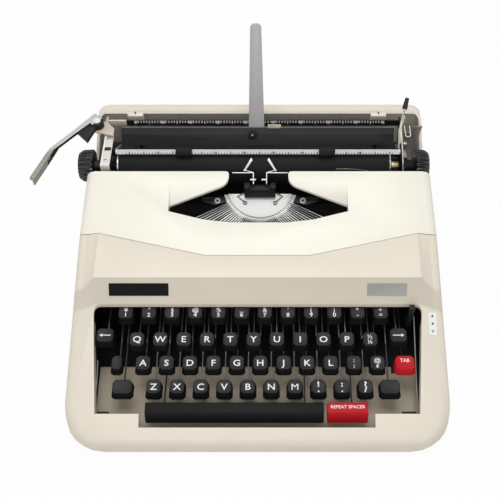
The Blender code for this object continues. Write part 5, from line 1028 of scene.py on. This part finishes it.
for x in (-124.8, 116.4):
    side_disc = disc("platen_disc", 13.5, 1.0, hole=BORE, sides=40)
    lay(side_disc, "platen", STEEL, (x, SHAFT_Y, SHAFT_Z), (0, 90, 0))
lay(disc("shaft_sleeve", 4.0, 6.4, hole=SLEEVE_BORE), "platen", BRASS, (122, SHAFT_Y, SHAFT_Z), (0, 90, 0))
print("Carriage ends fitted")

# %% [markdown]
# The release levers on the right are joined by two thin links and a bow, and a wire holds a card in front of
# the platen. The names below are the radii of the three kinds of wire.

# %% Link wires
LINK, BOW, CARD = 0.6, 0.5, 0.35
wire("release_link_1", "carriage_frame", CREAM, [(132.0, 276.5, 119), (127.8, 264, 118), (126.4, 250, 110)], LINK)
wire("release_link_2", "carriage_frame", CREAM, [(128.0, 262, 116), (128.0, 248, 111), (128.2, 226, 99.5)], LINK)
BOW_PATH = [(131.4, 268.4), (131.6, 255.6), (132.4, 254.4), (135.2, 254.4), (136.0, 255.6), (136.2, 268.4)]
wire("release_bow", "carriage_frame", WHITE_PAINT, [(x, y, 114.2) for x, y in BOW_PATH], BOW)
lay(block("release_strip", 4.4, 33, 1.0, 0.3), "carriage_frame", DARK_BROWN, (132.8, 245.0, 111.4), (3, 0, 0))
CARD_PATH = [(67.8, 221.5, 106.4), (76, 220.6, 107.4), (86, 220.6, 106.8), (96.3, 221.5, 104.2)]
wire("card_wire", "carriage_frame", LEVER_STEEL, CARD_PATH, CARD)
print("Links fitted")

# %% [markdown]
# The paper table has a black dimple with a bright rivet at the foot of the paper support, and a small tab at
# its top edge. The margin stops have a notch that points at the scale. Numbers stand on the bail's scale.

# %% Paper table, stops and scale numbers
lay(disc("support_boss", 4.0, 1.6), "paper_table", PAINT, (-5.7, 258.6, 112.3), (67, 0, 0))
lay(disc("support_rivet", 0.9, 0.8, sides=12), "paper_table", STEEL, (-5.9, 257.6, 112.9), (67, 0, 0))
lay(block("table_tab", 12, 3.4, 0.8, 0.5), "paper_table", PINK_BEIGE, (13.8, 263.2, 118.6), (75, 0, 0))
# Each stop's notch is a dark sheet that stands for the shadow in it: painted shadow.
for side, x in (("left", -113), ("right", 109)):
    node = "margin_stop_" + side
    lay(block("stop_notch_" + side, 1.2, 3.2, 0.3, 0.2), node, NOTCH, **drop(worked[node], x, 283.4))
numbers = []
for i in range(1, 9):
    number = letters(str(i * 10), 2.6, 0.01)
    numbers.append(lay(number, "paper_bail", DARK_INK, (SCALE_START + INCH * i, 232.6, 115.4), (81, 0, 0)))
as_one("bail_numbers", "paper_bail", numbers)
print("Scale numbers placed")

# %% [markdown]
# In the type basket two bent wires with ring ends lie on the segment, and a washer sits on each of its wings.
# The type guide gets bright fingers that hold a card against the platen.

# %% Type basket
FINGER_RADIUS = 18.0


def on_segment(across, y, z):
    """A place given by its distance to the right of the segment's middle."""
    return (SEGMENT_X + across, y, z)


for side in (-1, 1):
    bent = [on_segment(side * across, y, z) for across, y, z in ((14.6, SEGMENT_Y, 86.4), (20.2, 208.8, 85.2),
                                                                 (13.6, 203.9, 82.7))]
    wire("basket_wire", "type_segment", DARK_STEEL, bent, 0.55)
    ring = disc("wire_ring", 1.9, 0.7, hole=0.9, sides=16)
    lay(ring, "type_segment", LEVER_STEEL, on_segment(side * 13.4, 203.4, 82.3), (SEGMENT_TILT, 0, 0))
    washer = drop(worked["type_segment"], SEGMENT_X + side * 38, 207.8, 0.3)
    lay(disc("wing_washer", 2.7, 0.7, hole=1.2), "type_segment", WHITE_STEEL, **washer)
    finger = []
    for share in (0, 0.5, 1):
        angle = math.radians(30 + 32 * share)
        finger.append(on_segment(side * (14.0 - 7.0 * share), SHAFT_Y - FINGER_RADIUS * math.cos(angle),
                                 SHAFT_Z + FINGER_RADIUS * math.sin(angle)))
    wire("card_finger", "type_guide", WHITE_STEEL, finger, 0.85)
    wire("card_hook", "type_guide", WHITE_STEEL, [(side * 7.3, 213.6, 101.0), (side * 2.5, 213.6, 101.0)], 0.75)
print("Type basket fitted")

# %% [markdown]
# The camera stands a little above and in front of the machine, as in a product photograph, looking fifty
# degrees down. The machine isn't quite in the middle of the picture, which the lens shift gives.

# %% Camera
camera_data = bpy.data.cameras.new("product_camera")
camera = bpy.data.objects.new("product_camera", camera_data)
bpy.context.scene.collection.objects.link(camera)
camera.location = at(12, -341, 666)
camera.rotation_euler = (math.radians(40), 0, 0)
camera_data.sensor_width = 36
camera_data.lens = 64.8
camera_data.shift_x = -0.0446
camera_data.clip_start = 0.01
bpy.context.scene.camera = camera
print("Camera at", tuple(round(c, 3) for c in camera.location))

# %% [markdown]
# A wide soft box overhead lights the flat top of the casing most and leaves its steep front faces darker. A
# high and a low box in front and two weak ones at the sides open the shadows.

# %% Light
OVERHEAD, HIGH_FRONT, FRONT, SIDE = 8.6, 2.2, 1.8, 1


def soft_box(name, place, aim, size, power):
    """A square lamp at a place, turned towards its aim, all in metres and watts."""
    lamp_data = bpy.data.lights.new(name, "AREA")
    lamp_data.shape = "SQUARE"
    lamp_data.size = size
    lamp_data.energy = power
    lamp = bpy.data.objects.new(name, lamp_data)
    lamp.location = place
    lamp.rotation_euler = (Vector(aim) - Vector(place)).to_track_quat("-Z", "Y").to_euler()
    bpy.context.scene.collection.objects.link(lamp)


soft_box("overhead_box", (0, 0.1, 1.3), (0, 0, 0.05), 0.9, OVERHEAD)
soft_box("high_front_box", (0, -1.0, 1.05), (0, 0, 0.08), 0.5, HIGH_FRONT)
soft_box("front_box", (0, -1.3, 0.12), (0, 0, 0.08), 0.8, FRONT)
soft_box("left_box", (-1.2, -0.1, 0.6), (0, 0, 0.05), 0.6, SIDE)
soft_box("right_box", (1.2, -0.1, 0.6), (0, 0, 0.05), 0.6, SIDE)
print("Soft boxes:", len(bpy.data.lights))

# %% [markdown]
# The world and the floor are white to the camera, and plain grey to the light that falls on the machine. A
# Light Path node tells the two kinds of ray apart.

# %% World
SKY = 0.45
world = bpy.data.worlds.new("studio")
bpy.context.scene.world = world
world.use_nodes = True
sky = Nodes(world.node_tree)
background = sky.tree.nodes["Background"]
background.inputs["Color"].default_value = (1, 1, 1, 1)
to_camera = sky.node("ShaderNodeLightPath", output="Is Camera Ray")
through_glass = sky.node("ShaderNodeLightPath", output="Is Transmission Ray")
level = sky.node("ShaderNodeMapRange", {}, {"Value": to_camera | through_glass, "To Min": SKY, "To Max": 1})
sky.link(level, background.inputs["Strength"])
print("World nodes:", len(sky.tree.nodes))

# %% [markdown]
# The floor mixes a plain white surface, which takes the soft shadow, with a glow that only the camera sees.

# %% Floor
GLOW_TO_CAMERA = 0.95
bpy.ops.mesh.primitive_plane_add(size=6, location=(0, 0, -0.0002))
ground = bpy.context.active_object
ground.name = "studio_floor"
floor_finish = Finish("studio_floor_white", (0.82, 0.82, 0.82), 0.9)
surface = Signal(floor_finish, floor_finish.shader.outputs[0])
glow = floor_finish.node("ShaderNodeEmission", {}, {"Color": (1, 1, 1, 1), "Strength": 1})
glow_share = floor_finish.node("ShaderNodeLightPath", output="Is Camera Ray") * GLOW_TO_CAMERA
mixed = floor_finish.node("ShaderNodeMixShader", {}, [glow_share, surface, glow])
floor_finish.link(mixed, floor_finish.tree.nodes["Material Output"].inputs["Surface"])
paint(ground, floor_finish.material)
bpy.context.scene.view_settings.view_transform = "Standard"
print("Studio ready")
